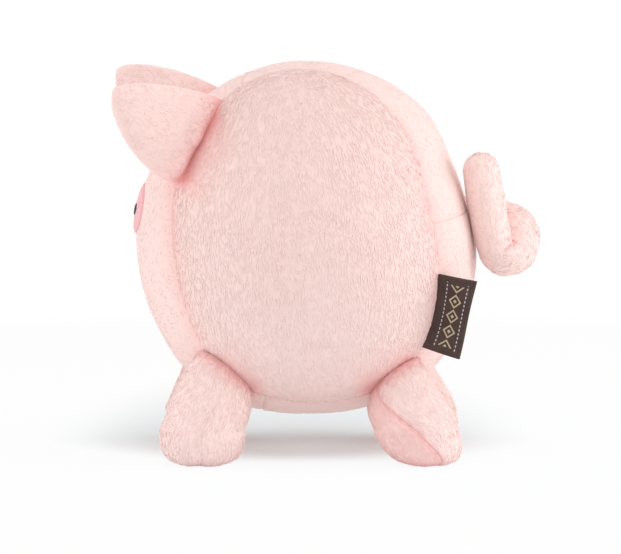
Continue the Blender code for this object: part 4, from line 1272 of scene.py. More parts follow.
@dataclass
class Patch:
    """An oval on the face, as a disc grid: its place, its half sizes and a height above the face."""

    body: Body
    x: float
    z: float
    half_width: float
    half_height: float
    cells: int

    def __post_init__(self) -> None:
        """Lays the grid on the swollen face with its soft lumps, and works out which way is out."""
        self.out, degrees = disc_grid(self.cells)
        angle = np.radians(degrees)
        self.across = self.out * np.cos(angle)
        self.up = self.out * np.sin(angle)
        x = self.x + self.half_width * self.across
        z = self.z + self.half_height * self.up
        smooth = swelled(self.body.swelling, np.stack([x, self.body.face_front(x, z), z], axis=-1))
        normals = grid_normals(smooth, False)
        self.normals = normals * -np.sign(np.sum(normals[..., 1]))
        self.points = smooth + self.normals * self.body.relief(smooth, smooth, self.body.seed)[..., None]

    def raised(self, height: Array) -> Array:
        """The grid raised off the face by a height at each point."""
        return self.points + self.normals * np.asarray(height)[..., None]


@dataclass
class Snout:
    """The snout: a padded oval of deeper pink, with a stitched nostril on each side."""

    body: Body
    above_middle: float = 0.0105
    half_width: float = 0.0165
    half_height: float = 0.0095
    rise: float = 0.0015
    base: float = 0.0003
    nostril_spacing: float = 0.0120
    nostril_half_width: float = 0.0017
    nostril_half_height: float = 0.0020

    def height(self, out: Array) -> Array:
        """How far the pad stands off the face: full in the middle and rounded off at the rim."""
        return self.base + self.rise * np.sqrt(np.maximum(1 - out**3.4, 0))

    def build(self, plush: bpy.types.Material, thread: bpy.types.Material, pile: Pile) -> None:
        """Makes the pad and both nostrils."""
        z = self.body.centre[2] + self.above_middle
        pad = Patch(self.body, 0.0, z, self.half_width, self.half_height, 64)
        nap = pad.points
        relief = self.body.relief(pad.points, nap, 61) * smoothstep(1 - pad.out, 0.0, 0.15)
        points = pad.raised(self.height(pad.out) + relief)
        lay = pad.points - np.array([0, 0, z]) + np.array([0, 0, -0.004])
        # Painted shade, a deeper pink, round the pad's rim.
        crease = 0.8 * np.exp(-(((1 - pad.out) * 0.010 / 0.0012) ** 1.2))
        cloth = Cloth(points, pad.raised(np.full_like(pad.out, -0.0006)), lay, nap, crease,
                      1 - 0.7 * pad.out**4)
        place(sew("snout_pad_plush", cloth, pile, plush, 61), "body", "snout_pad", 0.7, "snout_plush")
        for side in Side:
            x = side.value * self.nostril_spacing / 2
            spot = Patch(self.body, x, z, self.nostril_half_width, self.nostril_half_height, 48)
            x_share, z_share = spot.points[..., 0] / self.half_width, (spot.points[..., 2] - z) / self.half_height
            from_middle = np.hypot(x_share, z_share)
            satin_stitch(f"{side.word}_nostril", spot, self.height(from_middle), thread)


@dataclass
class Eyes:
    """Two stitched ovals on the face above the snout."""

    body: Body
    above_middle: float = 0.0300
    spacing: float = 0.0330
    half_width: float = 0.0030
    half_height: float = 0.0036

    def build(self, thread: bpy.types.Material) -> None:
        """Makes both eyes."""
        z = self.body.centre[2] + self.above_middle
        for side in Side:
            spot = Patch(self.body, side.value * self.spacing / 2, z, self.half_width, self.half_height, 60)
            satin_stitch(f"{side.word}_eye", spot, np.zeros_like(spot.out), thread)


def satin_stitch(node: str, spot: Patch, base: Array, thread: bpy.types.Material) -> None:
    """Fills an oval with satin stitch: a low dome of strands laid side by side, each half a circle across.

    Args:
        node: The plain solid that it replaces.
        spot: The oval.
        base: How far the cloth under it stands off the face.
        thread: The thread's finish.
    """
    pitch, slant, base_rise, dome_rise, strand_rise, root_depth = 0.00038, 0.12, 0.0003, 0.00022, 0.00010, 0.0005
    across_strands = spot.up * spot.half_height + slant * spot.across * spot.half_width
    strand = np.abs(np.sin(math.pi * across_strands / pitch))
    dome = np.sqrt(np.maximum(1 - spot.out**2.6, 0))
    height = base + base_rise + dome_rise * dome + strand_rise * strand * dome
    points, back = spot.raised(height), spot.raised(base - root_depth)
    nap = np.stack([spot.up * spot.half_height, 0 * spot.out, spot.across * spot.half_width], axis=-1)
    blank = np.zeros_like(spot.out)
    cloth = Cloth(points, back, np.zeros_like(points) + np.array([1.0, 0, 0]), nap, blank, blank)
    place(sew(f"{node}_stitches", cloth, None, thread, 0), "body", node, None, "black_thread")


# Label.


@dataclass
class Label:
    """The side label: a woven tape folded double, both of its ends caught in the seam."""

    body: Body
    root_angles: tuple[float, float] = (-41.0, -12.0)
    length: float = 0.0303
    reach: float = 0.0119
    out_angle: float = 22.0
    tape: float = 0.0005
    slot: float = 0.0004
    sunk: float = 0.0012
    rows: int = 90
    columns: int = 72

    def cloth(self) -> Cloth:
        """A profile carried along the seam: out from the seam, round the fold and back, with a slight
        wave."""
        low, high = (self.body.seam(np.array(a), 1.0) for a in self.root_angles)
        middle = self.body.seam(np.array(np.mean(self.root_angles)), 1.0)
        along = unit(high - low)
        turn = math.radians(self.out_angle)
        out = np.array([math.sin(turn), math.cos(turn), 0])
        out = unit(out - along * (out @ along))
        normal = np.cross(out, along)
        share = np.linspace(-1, 1, self.columns + 1)
        angles = np.interp(share, (-1, 1), self.root_angles)
        root = self.body.seam(angles, 1.0) - out * self.sunk
        edge = middle + along * (share * self.length / 2)[:, None] + out * self.reach
        bend = (self.slot + self.tape) / 2
        flat = np.linspace(0, 1, self.rows // 2 - 8)
        arc = np.linspace(-90, 90, 19)[1:-1]
        path = np.concatenate([flat, np.ones(len(arc)), flat[::-1]])[:, None, None]
        turned = np.concatenate([np.full(len(flat), -90.0), arc, np.full(len(flat), 90.0)])
        turned = np.radians(turned)[:, None, None]
        centre = blend(root[None], (edge - out * bend)[None], path)
        wave = 0.0005 * np.sin(share * 3.1 + 0.6)[None, :, None] * path + 0.0004 * np.sin(path * 3.0)
        facing = -np.sin(turned) * normal + np.cos(turned) * out
        middle_line = centre + facing * bend + normal * wave
        outer, inner = middle_line + facing * self.tape / 2, middle_line - facing * self.tape / 2
        run = np.concatenate([[0], np.cumsum(np.linalg.norm(np.diff(middle_line[:, 0], axis=0), axis=1))])
        nap = np.stack([share[None] * self.length / 2 + 0 * run[:, None], 0 * run[:, None] + 0 * share[None],
                        run[:, None] + 0 * share[None]], axis=-1)
        self.run_length = run[-1]
        crease = np.exp(-((path[..., 0] / 0.15) ** 2)) + 0 * share[None]
        return Cloth(outer, inner, np.zeros_like(outer) + out, nap, crease, 0 * crease)

    def build(self, tape: bpy.types.Material) -> None:
        """Makes the tape."""
        cloth = self.cloth()
        made = sew("side_label_tape", cloth, None, tape, 0)
        root, tip = cloth.points[0].mean(axis=0), cloth.points[len(cloth.points) // 2].mean(axis=0)
        place(made, "label", "side_label", None, "label_tape", bend=(root, blend(root, tip, 0.4)))


# Inside.


def fibre_mass(nodes: dict[str, bpy.types.Object], node: str, body: str,
               material: bpy.types.Material) -> None:
    """Replaces a plain stuffing by a lumpy one of the same form: its mesh is divided twice and drawn in by
    noise, at most 0.9 mm, and a little more just above the floor, so it stays inside its cover.

    Args:
        nodes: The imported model's objects.
        node: The plain stuffing.
        body: The body that it moves with.
        material: The fibre's finish.
    """
    mesh = nodes[node].data.copy()
    mesh.name = f"{node}_fibre"
    mesh.materials.clear()
    mesh.materials.append(material)
    work = bmesh.new()
    work.from_mesh(mesh)
    bmesh.ops.remove_doubles(work, verts=work.verts, dist=MERGE_DISTANCE)
    bmesh.ops.recalc_face_normals(work, faces=work.faces)
    bmesh.ops.subdivide_edges(work, edges=work.edges, cuts=2, use_grid_fill=True)
    work.to_mesh(mesh)
    work.free()
    count = len(mesh.vertices)
    points, normals = np.zeros(count * 3, np.float32), np.zeros(count * 3, np.float32)
    mesh.vertices.foreach_get("co", points)
    mesh.vertex_normals.foreach_get("vector", normals)
    points, normals = points.reshape(-1, 3).astype(float), normals.reshape(-1, 3)
    lump, lump_size, sole_room, sole_low, sole_high = 0.00045, 0.005, 0.0014, 0.0035, 0.0090
    depth = lump * (1 + noise(points, lump_size, 91))
    depth = depth + sole_room * (1 - smoothstep(points[:, 2], sole_low, sole_high))
    mesh.vertices.foreach_set("co", (points - normals * depth[:, None]).astype(np.float32).ravel())
    mesh.shade_smooth()
    made = bpy.data.objects.new(f"{node}_fibre", mesh)
    bpy.context.scene.collection.objects.link(made)
    place(made, body, node, 0.8, "stuffing")


# Materials.


class Wiring:
    """Adds shader nodes to a tree and links them."""

    def __init__(self, tree: bpy.types.NodeTree) -> None:
        """Keeps the tree."""
        self.tree = tree

    def add(self, kind: str, settings: dict[str, Any] | None = None, **inputs: Any) -> bpy.types.Node:
        """Adds one node.

        Args:
            kind: The node's type, without its ShaderNode prefix.
            settings: Properties of the node itself.
            **inputs: Values or sockets for its inputs, with underscores for spaces, or in_ and a number.

        Returns:
            The node.
        """
        node = self.tree.nodes.new("ShaderNode" + kind)
        for name, value in (settings or {}).items():
            setattr(node, name, value)
        for name, value in inputs.items():
            key = int(name[3:]) if name.startswith("in_") else name.replace("_", " ")
            socket = node.inputs[key]
            if isinstance(value, bpy.types.NodeSocket):
                self.tree.links.new(value, socket)
            else:
                socket.default_value = value
        return node

    def math(self, operation: str, a: Any, b: Any = 0.0) -> bpy.types.NodeSocket:
        """The result of one sum of two values."""
        return self.add("Math", {"operation": operation}, in_0=a, in_1=b).outputs[0]

    def mix(self, share: Any, a: Any, b: Any) -> bpy.types.NodeSocket:
        """A colour that lies share of the way from a to b."""
        node = self.add("Mix", {"data_type": "RGBA"}, in_0=share, in_6=a, in_7=b)
        return node.outputs[2]

    def stored(self, name: str, output: str = "Fac") -> bpy.types.NodeSocket:
        """A value that is kept on the mesh under this name."""
        return self.add("Attribute", {"attribute_name": name}).outputs[output]

    def seen_directly(self) -> bpy.types.NodeSocket:
        """1 for rays from the camera, straight, mirrored or let through, and 0 for those that only
        carry light."""
        path = self.add("LightPath").outputs
        mirrored = self.math("MAXIMUM", path["Is Camera Ray"], path["Is Glossy Ray"])
        return self.math("MAXIMUM", mirrored, path["Is Transmission Ray"])

    def steps(self, value: Any, low: float, high: float) -> bpy.types.NodeSocket:
        """A value mapped from 0 at low to 1 at high, smoothly."""
        node = self.add("MapRange", {"interpolation_type": "SMOOTHSTEP"}, in_0=value, in_1=low, in_2=high)
        return node.outputs[0]


def new_group(name: str, sockets: dict[str, tuple[str, str]]) -> tuple[bpy.types.NodeTree, Wiring, Any, Any]:
    """Starts a shader node group.

    Args:
        name: The group's name.
        sockets: For each socket, INPUT or OUTPUT and Float, Vector or Color.

    Returns:
        The group, its wiring, and its input and output nodes.
    """
    tree = bpy.data.node_groups.new(name, "ShaderNodeTree")
    for socket, (way, kind) in sockets.items():
        tree.interface.new_socket(socket, in_out=way, socket_type="NodeSocket" + kind)
    return tree, Wiring(tree), tree.nodes.new("NodeGroupInput"), tree.nodes.new("NodeGroupOutput")


def streak_group() -> bpy.types.NodeTree:
    """Fine streaks along a nap: noise stretched along the third coordinate, in two sizes."""
    tree, wiring, start, end = new_group("nap_streaks", {
        "Nap": ("INPUT", "Vector"), "Stretch": ("INPUT", "Float"), "Fineness": ("INPUT", "Float"),
        "Streak": ("OUTPUT", "Float"), "Height": ("OUTPUT", "Float"),
    })
    parts = wiring.add("SeparateXYZ", in_0=start.outputs["Nap"])
    along = wiring.math("DIVIDE", parts.outputs[2], start.outputs["Stretch"])
    place_of = wiring.add("CombineXYZ", in_0=parts.outputs[0], in_1=parts.outputs[1], in_2=along).outputs[0]
    coarse = wiring.add("TexNoise", Vector=place_of, Scale=start.outputs["Fineness"], Detail=3.0,
                        Roughness=0.6)
    finer = wiring.math("MULTIPLY", start.outputs["Fineness"], 3.1)
    fine = wiring.add("TexNoise", Vector=place_of, Scale=finer, Detail=2.0, Roughness=0.5)
    both = wiring.math("ADD", wiring.math("MULTIPLY", coarse.outputs[0], 0.62),
                       wiring.math("MULTIPLY", fine.outputs[0], 0.38))
    wiring.tree.links.new(wiring.steps(both, 0.30, 0.70), end.inputs["Streak"])
    wiring.tree.links.new(both, end.inputs["Height"])
    return tree


def mottle_group() -> bpy.types.NodeTree:
    """Large soft patches, from 0 to 1, over the whole object."""
    tree, wiring, start, end = new_group("mottle", {
        "Size": ("INPUT", "Float"), "Patches": ("OUTPUT", "Float"),
    })
    where = wiring.add("TexCoord").outputs["Object"]
    scale = wiring.math("DIVIDE", 1.0, start.outputs["Size"])
    cloud = wiring.add("TexNoise", Vector=where, Scale=scale, Detail=3.0, Roughness=0.55)
    wiring.tree.links.new(wiring.steps(cloud.outputs[0], 0.32, 0.68), end.inputs["Patches"])
    return tree


@dataclass(frozen=True)
class Groups:
    """The shared node groups."""

    streaks: bpy.types.NodeTree
    mottle: bpy.types.NodeTree


def start_material(name: str) -> tuple[bpy.types.Material, Wiring, bpy.types.Node]:
    """A new material with its wiring and its Principled shader."""
    made = bpy.data.materials.new(name)
    made.use_nodes = True
    return made, Wiring(made.node_tree), made.node_tree.nodes["Principled BSDF"]


def use_group(wiring: Wiring, tree: bpy.types.NodeTree, **inputs: Any) -> bpy.types.Node:
    """Places a node group in a material with its own values."""
    return wiring.add("Group", {"node_tree": tree}, **inputs)


def solid(colour: Colour) -> tuple[float, float, float, float]:
    """A colour with full alpha."""
    return (*colour, 1.0)


@dataclass(frozen=True)
class PlushFinish:
    """Short velvety pile: pale at the tips, with painted shade towards the roots of the locks and in creases, and
    random streaks and patches of tone.
    """

    name: str
    tip: Colour
    body: Colour
    # deep is the pink of the painted shade in creases and hollows.
    deep: Colour
    sheen: float = 0.30
    sheen_colour: Colour = (1.0, 0.93, 0.90)

    def build(self, groups: Groups) -> bpy.types.Material:
        """Makes the material."""
        made, wiring, shader = start_material(self.name)
        nap = wiring.stored("nap", "Vector")
        crease = wiring.stored("crease")
        depth = wiring.stored("depth")
        lock = wiring.stored("lock")
        streak = use_group(wiring, groups.streaks, Nap=nap, Stretch=4.0, Fineness=900.0)
        patches = use_group(wiring, groups.mottle, Size=0.035).outputs[0]
        # The mix from tip to body colour is painted shade deeper in the pile, by depth, and random tone, by
        # streak, lock and patches.
        share = wiring.math("MULTIPLY", depth, 0.45)
        share = wiring.math("ADD", share, wiring.math("MULTIPLY", streak.outputs["Streak"], 0.30))
        share = wiring.math("ADD", share, wiring.math("MULTIPLY", lock, 0.46))
        share = wiring.math("ADD", share, wiring.math("MULTIPLY", patches, 0.14))
        colour = wiring.mix(share, solid(self.tip), solid(self.body))
        # Painted shade: the crease value mixes in the deep pink.
        colour = wiring.mix(crease, colour, solid(self.deep))
        wiring.tree.links.new(colour, shader.inputs["Base Color"])
        rough = wiring.math("ADD", 0.86, wiring.math("MULTIPLY", streak.outputs["Streak"], 0.12))
        wiring.tree.links.new(rough, shader.inputs["Roughness"])
        bump = wiring.add("Bump", Strength=0.35, Distance=0.0002, Height=streak.outputs["Height"])
        wiring.tree.links.new(bump.outputs[0], shader.inputs["Normal"])
        shader.inputs["Specular IOR Level"].default_value = 0.1
        shader.inputs["Sheen Weight"].default_value = self.sheen
        shader.inputs["Sheen Roughness"].default_value = 0.45
        shader.inputs["Sheen Tint"].default_value = solid(self.sheen_colour)
        return made


@dataclass(frozen=True)
class ThreadFinish:
    """Satin-stitched thread: dark, with the shine of its twist."""

    name: str
    dark: Colour
    light: Colour

    def build(self, groups: Groups) -> bpy.types.Material:
        """Makes the material."""
        made, wiring, shader = start_material(self.name)
        nap = wiring.stored("nap", "Vector")
        streak = use_group(wiring, groups.streaks, Nap=nap, Stretch=6.0, Fineness=2600.0)
        colour = wiring.mix(streak.outputs["Streak"], solid(self.dark), solid(self.light))
        wiring.tree.links.new(colour, shader.inputs["Base Color"])
        rough = wiring.math("ADD", 0.38, wiring.math("MULTIPLY", streak.outputs["Streak"], 0.2))
        wiring.tree.links.new(rough, shader.inputs["Roughness"])
        bump = wiring.add("Bump", Strength=0.5, Distance=0.0001, Height=streak.outputs["Height"])
        wiring.tree.links.new(bump.outputs[0], shader.inputs["Normal"])
        return made


@dataclass(frozen=True)
class TapeFinish:
    """Woven label tape: a fine weave, a woven row of plain diamonds and two rows of dashes in pale
    thread."""

    name: str
    ground: Colour
    shade: Colour
    cream: Colour
    grey: Colour
    half_length: float
    middle: float

    def build(self, groups: Groups) -> bpy.types.Material:
        """Makes the material. The nap attribute gives the place on the tape: the first number runs
        along the label and the third one round its fold from seam to seam."""
        made, wiring, shader = start_material(self.name)
        nap = wiring.stored("nap", "Vector")
        parts = wiring.add("SeparateXYZ", in_0=nap)
        along, run = parts.outputs[0], parts.outputs[2]
        folded = wiring.math("ABSOLUTE", wiring.math("SUBTRACT", run, self.middle))
        warp = wiring.math("SINE", wiring.math("MULTIPLY", along, 2 * math.pi / 0.00042))
        weft = wiring.math("SINE", wiring.math("MULTIPLY", run, 2 * math.pi / 0.00034))
        weave = wiring.math("MULTIPLY", warp, weft)
        height = wiring.math("ADD", 0.5, wiring.math("MULTIPLY", weave, 0.5))
        patches = use_group(wiring, groups.mottle, Size=0.006).outputs[0]
        share = wiring.math("ADD", wiring.math("MULTIPLY", height, 0.45),
                            wiring.math("MULTIPLY", patches, 0.4))
        ground = wiring.mix(share, solid(self.shade), solid(self.ground))
        diamonds = self.diamonds(wiring, along, folded)
        dashes = self.dashes(wiring, along, folded)
        ground = wiring.mix(diamonds, ground, solid(self.cream))
        ground = wiring.mix(dashes, ground, solid(self.grey))
        wiring.tree.links.new(ground, shader.inputs["Base Color"])
        raised = wiring.math("ADD", wiring.math("MULTIPLY", wiring.math("MAXIMUM", diamonds, dashes), 0.8), height)
        bump = wiring.add("Bump", Strength=0.6, Distance=0.00012, Height=raised)
        wiring.tree.links.new(bump.outputs[0], shader.inputs["Normal"])
        rough = wiring.math("ADD", 0.58, wiring.math("MULTIPLY", height, 0.2))
        wiring.tree.links.new(rough, shader.inputs["Roughness"])
        return made

    def diamonds(self, wiring: Wiring, along: Any, folded: Any) -> bpy.types.NodeSocket:
        """A row of diamond outlines along the label's middle: |u| + |v| near a fixed sum, in each repeat."""
        u = wiring.math("PINGPONG", along, 0.0030)
        v = wiring.math("ABSOLUTE", wiring.math("SUBTRACT", folded, 0.0068))
        total = wiring.math("ADD", u, v)
        ring = wiring.math("ABSOLUTE", wiring.math("SUBTRACT", total, 0.0024))
        edge = wiring.math("SUBTRACT", 1.0, wiring.steps(ring, 0.00032, 0.00046))
        core = wiring.math("SUBTRACT", 1.0, wiring.steps(total, 0.0007, 0.0009))
        inside = wiring.math("LESS_THAN", wiring.math("ABSOLUTE", along), self.half_length * 0.8)
        return wiring.math("MULTIPLY", wiring.math("MAXIMUM", edge, core), inside)

    def dashes(self, wiring: Wiring, along: Any, folded: Any) -> bpy.types.NodeSocket:
        """Two lines of dashes, beside the fold and beside the seam."""
        near = wiring.math("ABSOLUTE", wiring.math("SUBTRACT", folded, 0.0026))
        far = wiring.math("ABSOLUTE", wiring.math("SUBTRACT", folded, 0.0110))
        line = wiring.math("LESS_THAN", wiring.math("MINIMUM", near, far), 0.00022)
        wave = wiring.math("SINE", wiring.math("MULTIPLY", along, 2 * math.pi / 0.0016))
        gaps = wiring.math("GREATER_THAN", wave, -0.2)
        inside = wiring.math("LESS_THAN", wiring.math("ABSOLUTE", along), self.half_length * 0.86)
        return wiring.math("MULTIPLY", wiring.math("MULTIPLY", line, gaps), inside)


@dataclass(frozen=True)
class FibreFinish:
    """Loose white polyester fibre."""

    name: str
    bright: Colour
    dull: Colour

    def build(self, groups: Groups) -> bpy.types.Material:
        """Makes the material."""
        made, wiring, shader = start_material(self.name)
        patches = use_group(wiring, groups.mottle, Size=0.004).outputs[0]
        where = wiring.add("TexCoord").outputs["Object"]
        strands = use_group(wiring, groups.streaks, Nap=where, Stretch=3.0, Fineness=1500.0)
        share = wiring.math("MULTIPLY", wiring.math("ADD", patches, strands.outputs["Streak"]), 0.5)
        wiring.tree.links.new(wiring.mix(share, solid(self.dull), solid(self.bright)),
                              shader.inputs["Base Color"])
        rough = wiring.math("ADD", 0.85, wiring.math("MULTIPLY", patches, 0.15))
        wiring.tree.links.new(rough, shader.inputs["Roughness"])
        bump = wiring.add("Bump", Strength=0.8, Distance=0.0005, Height=strands.outputs["Height"])
        wiring.tree.links.new(bump.outputs[0], shader.inputs["Normal"])
        return made


@dataclass(frozen=True)
class PlasticFinish:
    """Thin milky moulded plastic, faintly uneven."""

    name: str
    pale: Colour
    dull: Colour

    def build(self, groups: Groups) -> bpy.types.Material:
        """Makes the material."""
        made, wiring, shader = start_material(self.name)
        patches = use_group(wiring, groups.mottle, Size=0.008).outputs[0]
        wiring.tree.links.new(wiring.mix(patches, solid(self.pale), solid(self.dull)),
                              shader.inputs["Base Color"])
        rough = wiring.math("ADD", 0.3, wiring.math("MULTIPLY", patches, 0.15))
        wiring.tree.links.new(rough, shader.inputs["Roughness"])
        grain = wiring.add("TexNoise", Vector=wiring.add("TexCoord").outputs["Object"], Scale=2500.0)
        bump = wiring.add("Bump", Strength=0.2, Distance=0.0001, Height=grain.outputs[0])
        wiring.tree.links.new(bump.outputs[0], shader.inputs["Normal"])
        return made


# Floor, light and camera.


@dataclass
class Studio:
    """A plain pale floor, soft light and the camera."""

    target: Array
    azimuth: float = 90.5
    elevation: float = 5.5
    distance: float = 2.0
    frame_width: float = 0.2329
    image_width: float = 621.0
    right_pixels: float = 3.0
    down_pixels: float = 40.5
    sensor: float = 36.0
    floor_size: float = 14.0
    world_strength: float = 0.69
    floor_colour: Colour = (0.775, 0.83, 0.845)
    floor_grain: Colour = (0.765, 0.82, 0.835)
    floor_open: Colour = (0.82, 0.82, 0.82)
    floor_glow: float = 0.05
    floor_light: float = 0.21
    shadow_middle: tuple[float, float] = (-0.040, -0.012)
    shadow_near: float = 0.050
    shadow_far: float = 0.150
    shadow_half_width: float = 0.065
    lamps: tuple[tuple[str, tuple[float, float, float], float, float], ...] = (
        ("lamp_top", (0.25, 0.15, 1.1), 0.9, 3.1),
        ("lamp_rear", (0.10, 1.05, 0.28), 0.7, 4.7),
        ("lamp_front", (0.10, -1.05, 0.24), 0.8, 3.7),
        ("lamp_low", (1.1, 0.15, 0.05), 0.5, 1.3),
    )

    def floor(self) -> None:
        """A wide floor, like a table that is also lit from beneath: it takes the shadow round the pig, but outside
        an oval under the pig a white glow that only the camera sees is painted over it, and further out it turns
        into plain white."""
        half = self.floor_size / 2
        corners = np.array([[-half, -half, 0], [half, -half, 0], [half, half, 0], [-half, half, 0]])
        made, wiring, shader = start_material("pale_floor")
        output = made.node_tree.nodes["Material Output"]
        where = wiring.add("TexCoord").outputs["Object"]
        away = wiring.add("VectorMath", {"operation": "LENGTH"}, in_0=where).outputs["Value"]
        grain = wiring.add("TexNoise", Vector=where, Scale=60.0)
        # Near the pig the floor is tinted cool, painted to cancel the pink light that the pig throws on it;
        # further out it is neutral.
        pale = wiring.mix(grain.outputs[0], solid(self.floor_colour), solid(self.floor_grain))
        pale = wiring.mix(wiring.steps(away, 0.09, 0.22), pale, solid(self.floor_open))
        wiring.tree.links.new(pale, shader.inputs["Base Color"])
        shader.inputs["Roughness"].default_value = 0.9
        shader.inputs["Specular IOR Level"].default_value = 0.1
        seen = wiring.seen_directly()
        lit = wiring.math("MULTIPLY", wiring.math("SUBTRACT", 1.0, seen), self.floor_light)
        glow = wiring.math("ADD", wiring.math("MULTIPLY", seen, self.floor_glow), lit)
        glow = wiring.add("Emission", Strength=glow)
        near = wiring.add("AddShader", in_0=shader.outputs[0], in_1=glow.outputs[0])
        white = wiring.add("Emission", Strength=seen)
        # Painted light: a white glow seen only by the camera covers the floor outside the shadow's oval and far
        # away.
        far = wiring.math("MAXIMUM", wiring.steps(away, 0.17, 0.50), self.open_share(wiring, where))
        far = wiring.math("MULTIPLY", far, seen)
        both = wiring.add("MixShader", in_0=far, in_1=near.outputs[0], in_2=white.outputs[0])
        wiring.tree.links.new(both.outputs[0], output.inputs["Surface"])
        made_floor = make_object("floor", corners, [np.array([[0, 1, 2, 3]])], made)

    def open_share(self, wiring: Wiring, where: Any) -> bpy.types.NodeSocket:
        """How far a white glow, painted over the floor and seen only by the camera, hides its shadow: not at all
        in an oval under the pig and behind it, and almost wholly outside of it."""
        x, y, _ = wiring.add("SeparateXYZ", in_0=where).outputs
        depth = wiring.math("SUBTRACT", x, self.shadow_middle[0])
        depth = wiring.math("MAXIMUM", wiring.math("DIVIDE", depth, self.shadow_near),
                            wiring.math("DIVIDE", depth, -self.shadow_far))
        across = wiring.math("DIVIDE", wiring.math("SUBTRACT", y, self.shadow_middle[1]),
                             self.shadow_half_width)
        away = wiring.math("SQRT", wiring.math("ADD", wiring.math("MULTIPLY", depth, depth),
                                               wiring.math("MULTIPLY", across, across)))
        return wiring.math("MULTIPLY", wiring.steps(away, 0.75, 1.5), 0.9)

    def world(self) -> None:
        """An even pale surround, seen as plain white."""
        world = bpy.data.worlds.new("surround")
        bpy.context.scene.world = world
        world.use_nodes = True
        wiring = Wiring(world.node_tree)
        lit = world.node_tree.nodes["Background"]
        lit.inputs["Color"].default_value = (1.0, 0.99, 0.98, 1.0)
        lit.inputs["Strength"].default_value = self.world_strength
        seen = wiring.add("Background", Color=(1.0, 1.0, 1.0, 1.0), Strength=1.0)
        both = wiring.add("MixShader", in_0=wiring.seen_directly(), in_1=lit.outputs[0],
                          in_2=seen.outputs[0])
        output = world.node_tree.nodes["World Output"]
        wiring.tree.links.new(both.outputs[0], output.inputs["Surface"])

    def lamp(self, name: str, place_at: tuple[float, float, float], size: float, power: float) -> None:
        """One square soft lamp, aimed at the pig."""
        data = bpy.data.lights.new(name, "AREA")
        data.size, data.energy = size, power
        lamp = bpy.data.objects.new(name, data)
        lamp.location = place_at
        toward = Vector(self.target) - lamp.location
        lamp.rotation_euler = toward.to_track_quat("-Z", "Y").to_euler()
        bpy.context.scene.collection.objects.link(lamp)

    def camera(self) -> None:
        """The camera, on the line from the pig's middle at the given angles."""
        azimuth, elevation = math.radians(self.azimuth), math.radians(self.elevation)
        back = Vector((math.sin(azimuth) * math.cos(elevation), -math.cos(azimuth) * math.cos(elevation),
                       math.sin(elevation)))
        data = bpy.data.cameras.new("camera")
        data.sensor_width = self.sensor
        data.lens = self.sensor * self.distance / self.frame_width
        data.shift_x = self.right_pixels / self.image_width
        data.shift_y = -self.down_pixels / self.image_width
        camera = bpy.data.objects.new("camera", data)
        camera.location = Vector(self.target) + back * self.distance
        camera.rotation_euler = (-back).to_track_quat("-Z", "Y").to_euler()
        bpy.context.scene.collection.objects.link(camera)
        bpy.context.scene.camera = camera

    def build(self) -> None:
        """Makes the floor, the surround, the lamps and the camera."""
        self.floor()
        self.world()
        for name, place_at, size, power in self.lamps:
            self.lamp(name, place_at, size, power)
        self.camera()
        bpy.context.scene.view_settings.view_transform = "Standard"


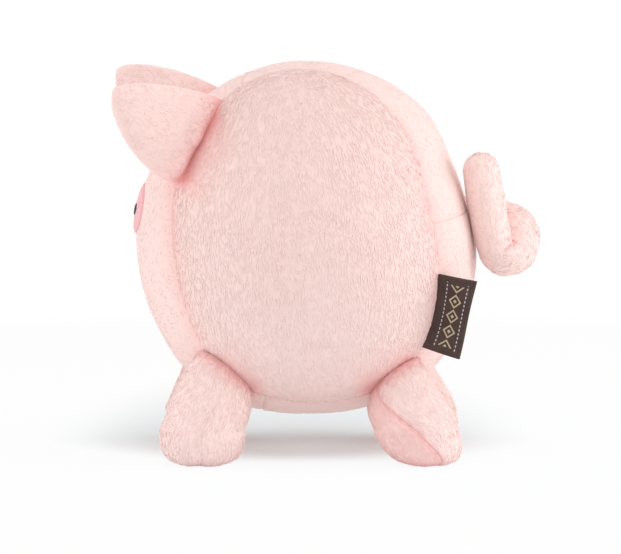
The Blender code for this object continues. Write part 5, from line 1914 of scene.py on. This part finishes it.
def main() -> None:
    """Loads the frame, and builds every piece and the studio."""
    logging.basicConfig(level=logging.INFO, format="%(name)s: %(message)s")
    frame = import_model()
    nodes = frame["nodes"]
    low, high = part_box("squeaker_bulb")
    centre = np.array([0.0, (low[1] + high[1]) / 2, (low[2] + high[2]) / 2])
    groups = Groups(streak_group(), mottle_group())
    # Each plush finish: its tip colour, its colour deeper in the pile, which carries painted shade, and the deep
    # pink of its painted shade in creases.
    plush = PlushFinish("pale_plush",
                        (0.93, 0.75, 0.715), (0.90, 0.66, 0.625), (0.89, 0.43, 0.42)).build(groups)
    limb_plush = PlushFinish("limb_plush",
                             (0.97, 0.80, 0.765), (0.95, 0.705, 0.67), (0.90, 0.43, 0.42)).build(groups)
    snout_plush = PlushFinish("snout_plush",
                              (0.91, 0.57, 0.59), (0.88, 0.50, 0.53), (0.78, 0.36, 0.40)).build(groups)
    thread = ThreadFinish("black_thread", (0.006, 0.005, 0.006), (0.030, 0.027, 0.028)).build(groups)
    fibre = FibreFinish("white_fibre", (0.86, 0.86, 0.84), (0.72, 0.72, 0.71)).build(groups)
    plastic = PlasticFinish("milky_plastic", (0.80, 0.82, 0.81), (0.70, 0.73, 0.73)).build(groups)
    studio = Studio(target=centre)
    studio.build()
    body = Body(centre)
    body.simulate(Simulation(voxel=0.0042, cap=0.0007))
    pile = Pile()
    body.build(plush, pile)
    small = Pile(length=0.0027, width=0.00046, area_each=0.7e-6)
    limb = Simulation(voxel=0.0022, cap=0.0005)
    front = Leg(body, End.FRONT, Side.LEFT, root_angles=(225.0, 250.0), foot_y=-0.0387, front_swell=0.85,
                rear_swell=2.8, foot_roundness=3.0, sole_trail=0.0, seam_depth=0.0,
                seam_start=0.0, seam_end=0.0,
                front_shade=0.0, seed=41)
    hind = Leg(body, End.HIND, Side.LEFT, root_angles=(315.0, 293.0), foot_y=0.0404, front_swell=1.3,
               rear_swell=2.5, foot_roundness=2.6, sole_trail=0.0050, seam_depth=0.0006, seam_start=-38.0,
               seam_end=34.0, front_shade=0.32, seed=51)
    for leg in (front, hind):
        leg.simulate(limb)
        leg.build(limb_plush, small)
        replace(leg, side=Side.RIGHT).build(limb_plush, small)
    left_ear = Ear(body, Side.LEFT, 0.0180, 0.0300, 0.0204, 71, taper_power=1.3)
    right_ear = Ear(body, Side.RIGHT, 0.0125, 0.0324, 0.0224, 75)
    tail = Tail(body)
    for part, finish in ((left_ear, plush), (right_ear, plush), (tail, limb_plush)):
        part.simulate(replace(limb, pressure=1.0) if isinstance(part, Ear) else limb)
        part.build(finish, small)
    Snout(body).build(snout_plush, thread, Pile(length=0.0012, width=0.0006, area_each=0.5e-6))
    Eyes(body).build(thread)
    label = Label(body)
    label.cloth()
    tape = TapeFinish("brown_tape", (0.085, 0.046, 0.036), (0.040, 0.020, 0.016), (0.52, 0.42, 0.27),
                      (0.55, 0.53, 0.52), label.length / 2, label.run_length / 2).build(groups)
    label.build(tape)
    for node in ("body_stuffing_left", "body_stuffing_right"):
        fibre_mass(nodes, node, "body", fibre)
    tail.fill(fibre)
    for end in End:
        for side in Side:
            leg = f"{end.value}_{side.word}_leg"
            fibre_mass(nodes, f"{leg}_stuffing", leg, fibre)
    for node in ("squeaker_bulb", "squeaker_reed"):
        nodes[node].data.materials.clear()
        nodes[node].data.materials.append(plastic)


if __name__ == "__main__":
    main()
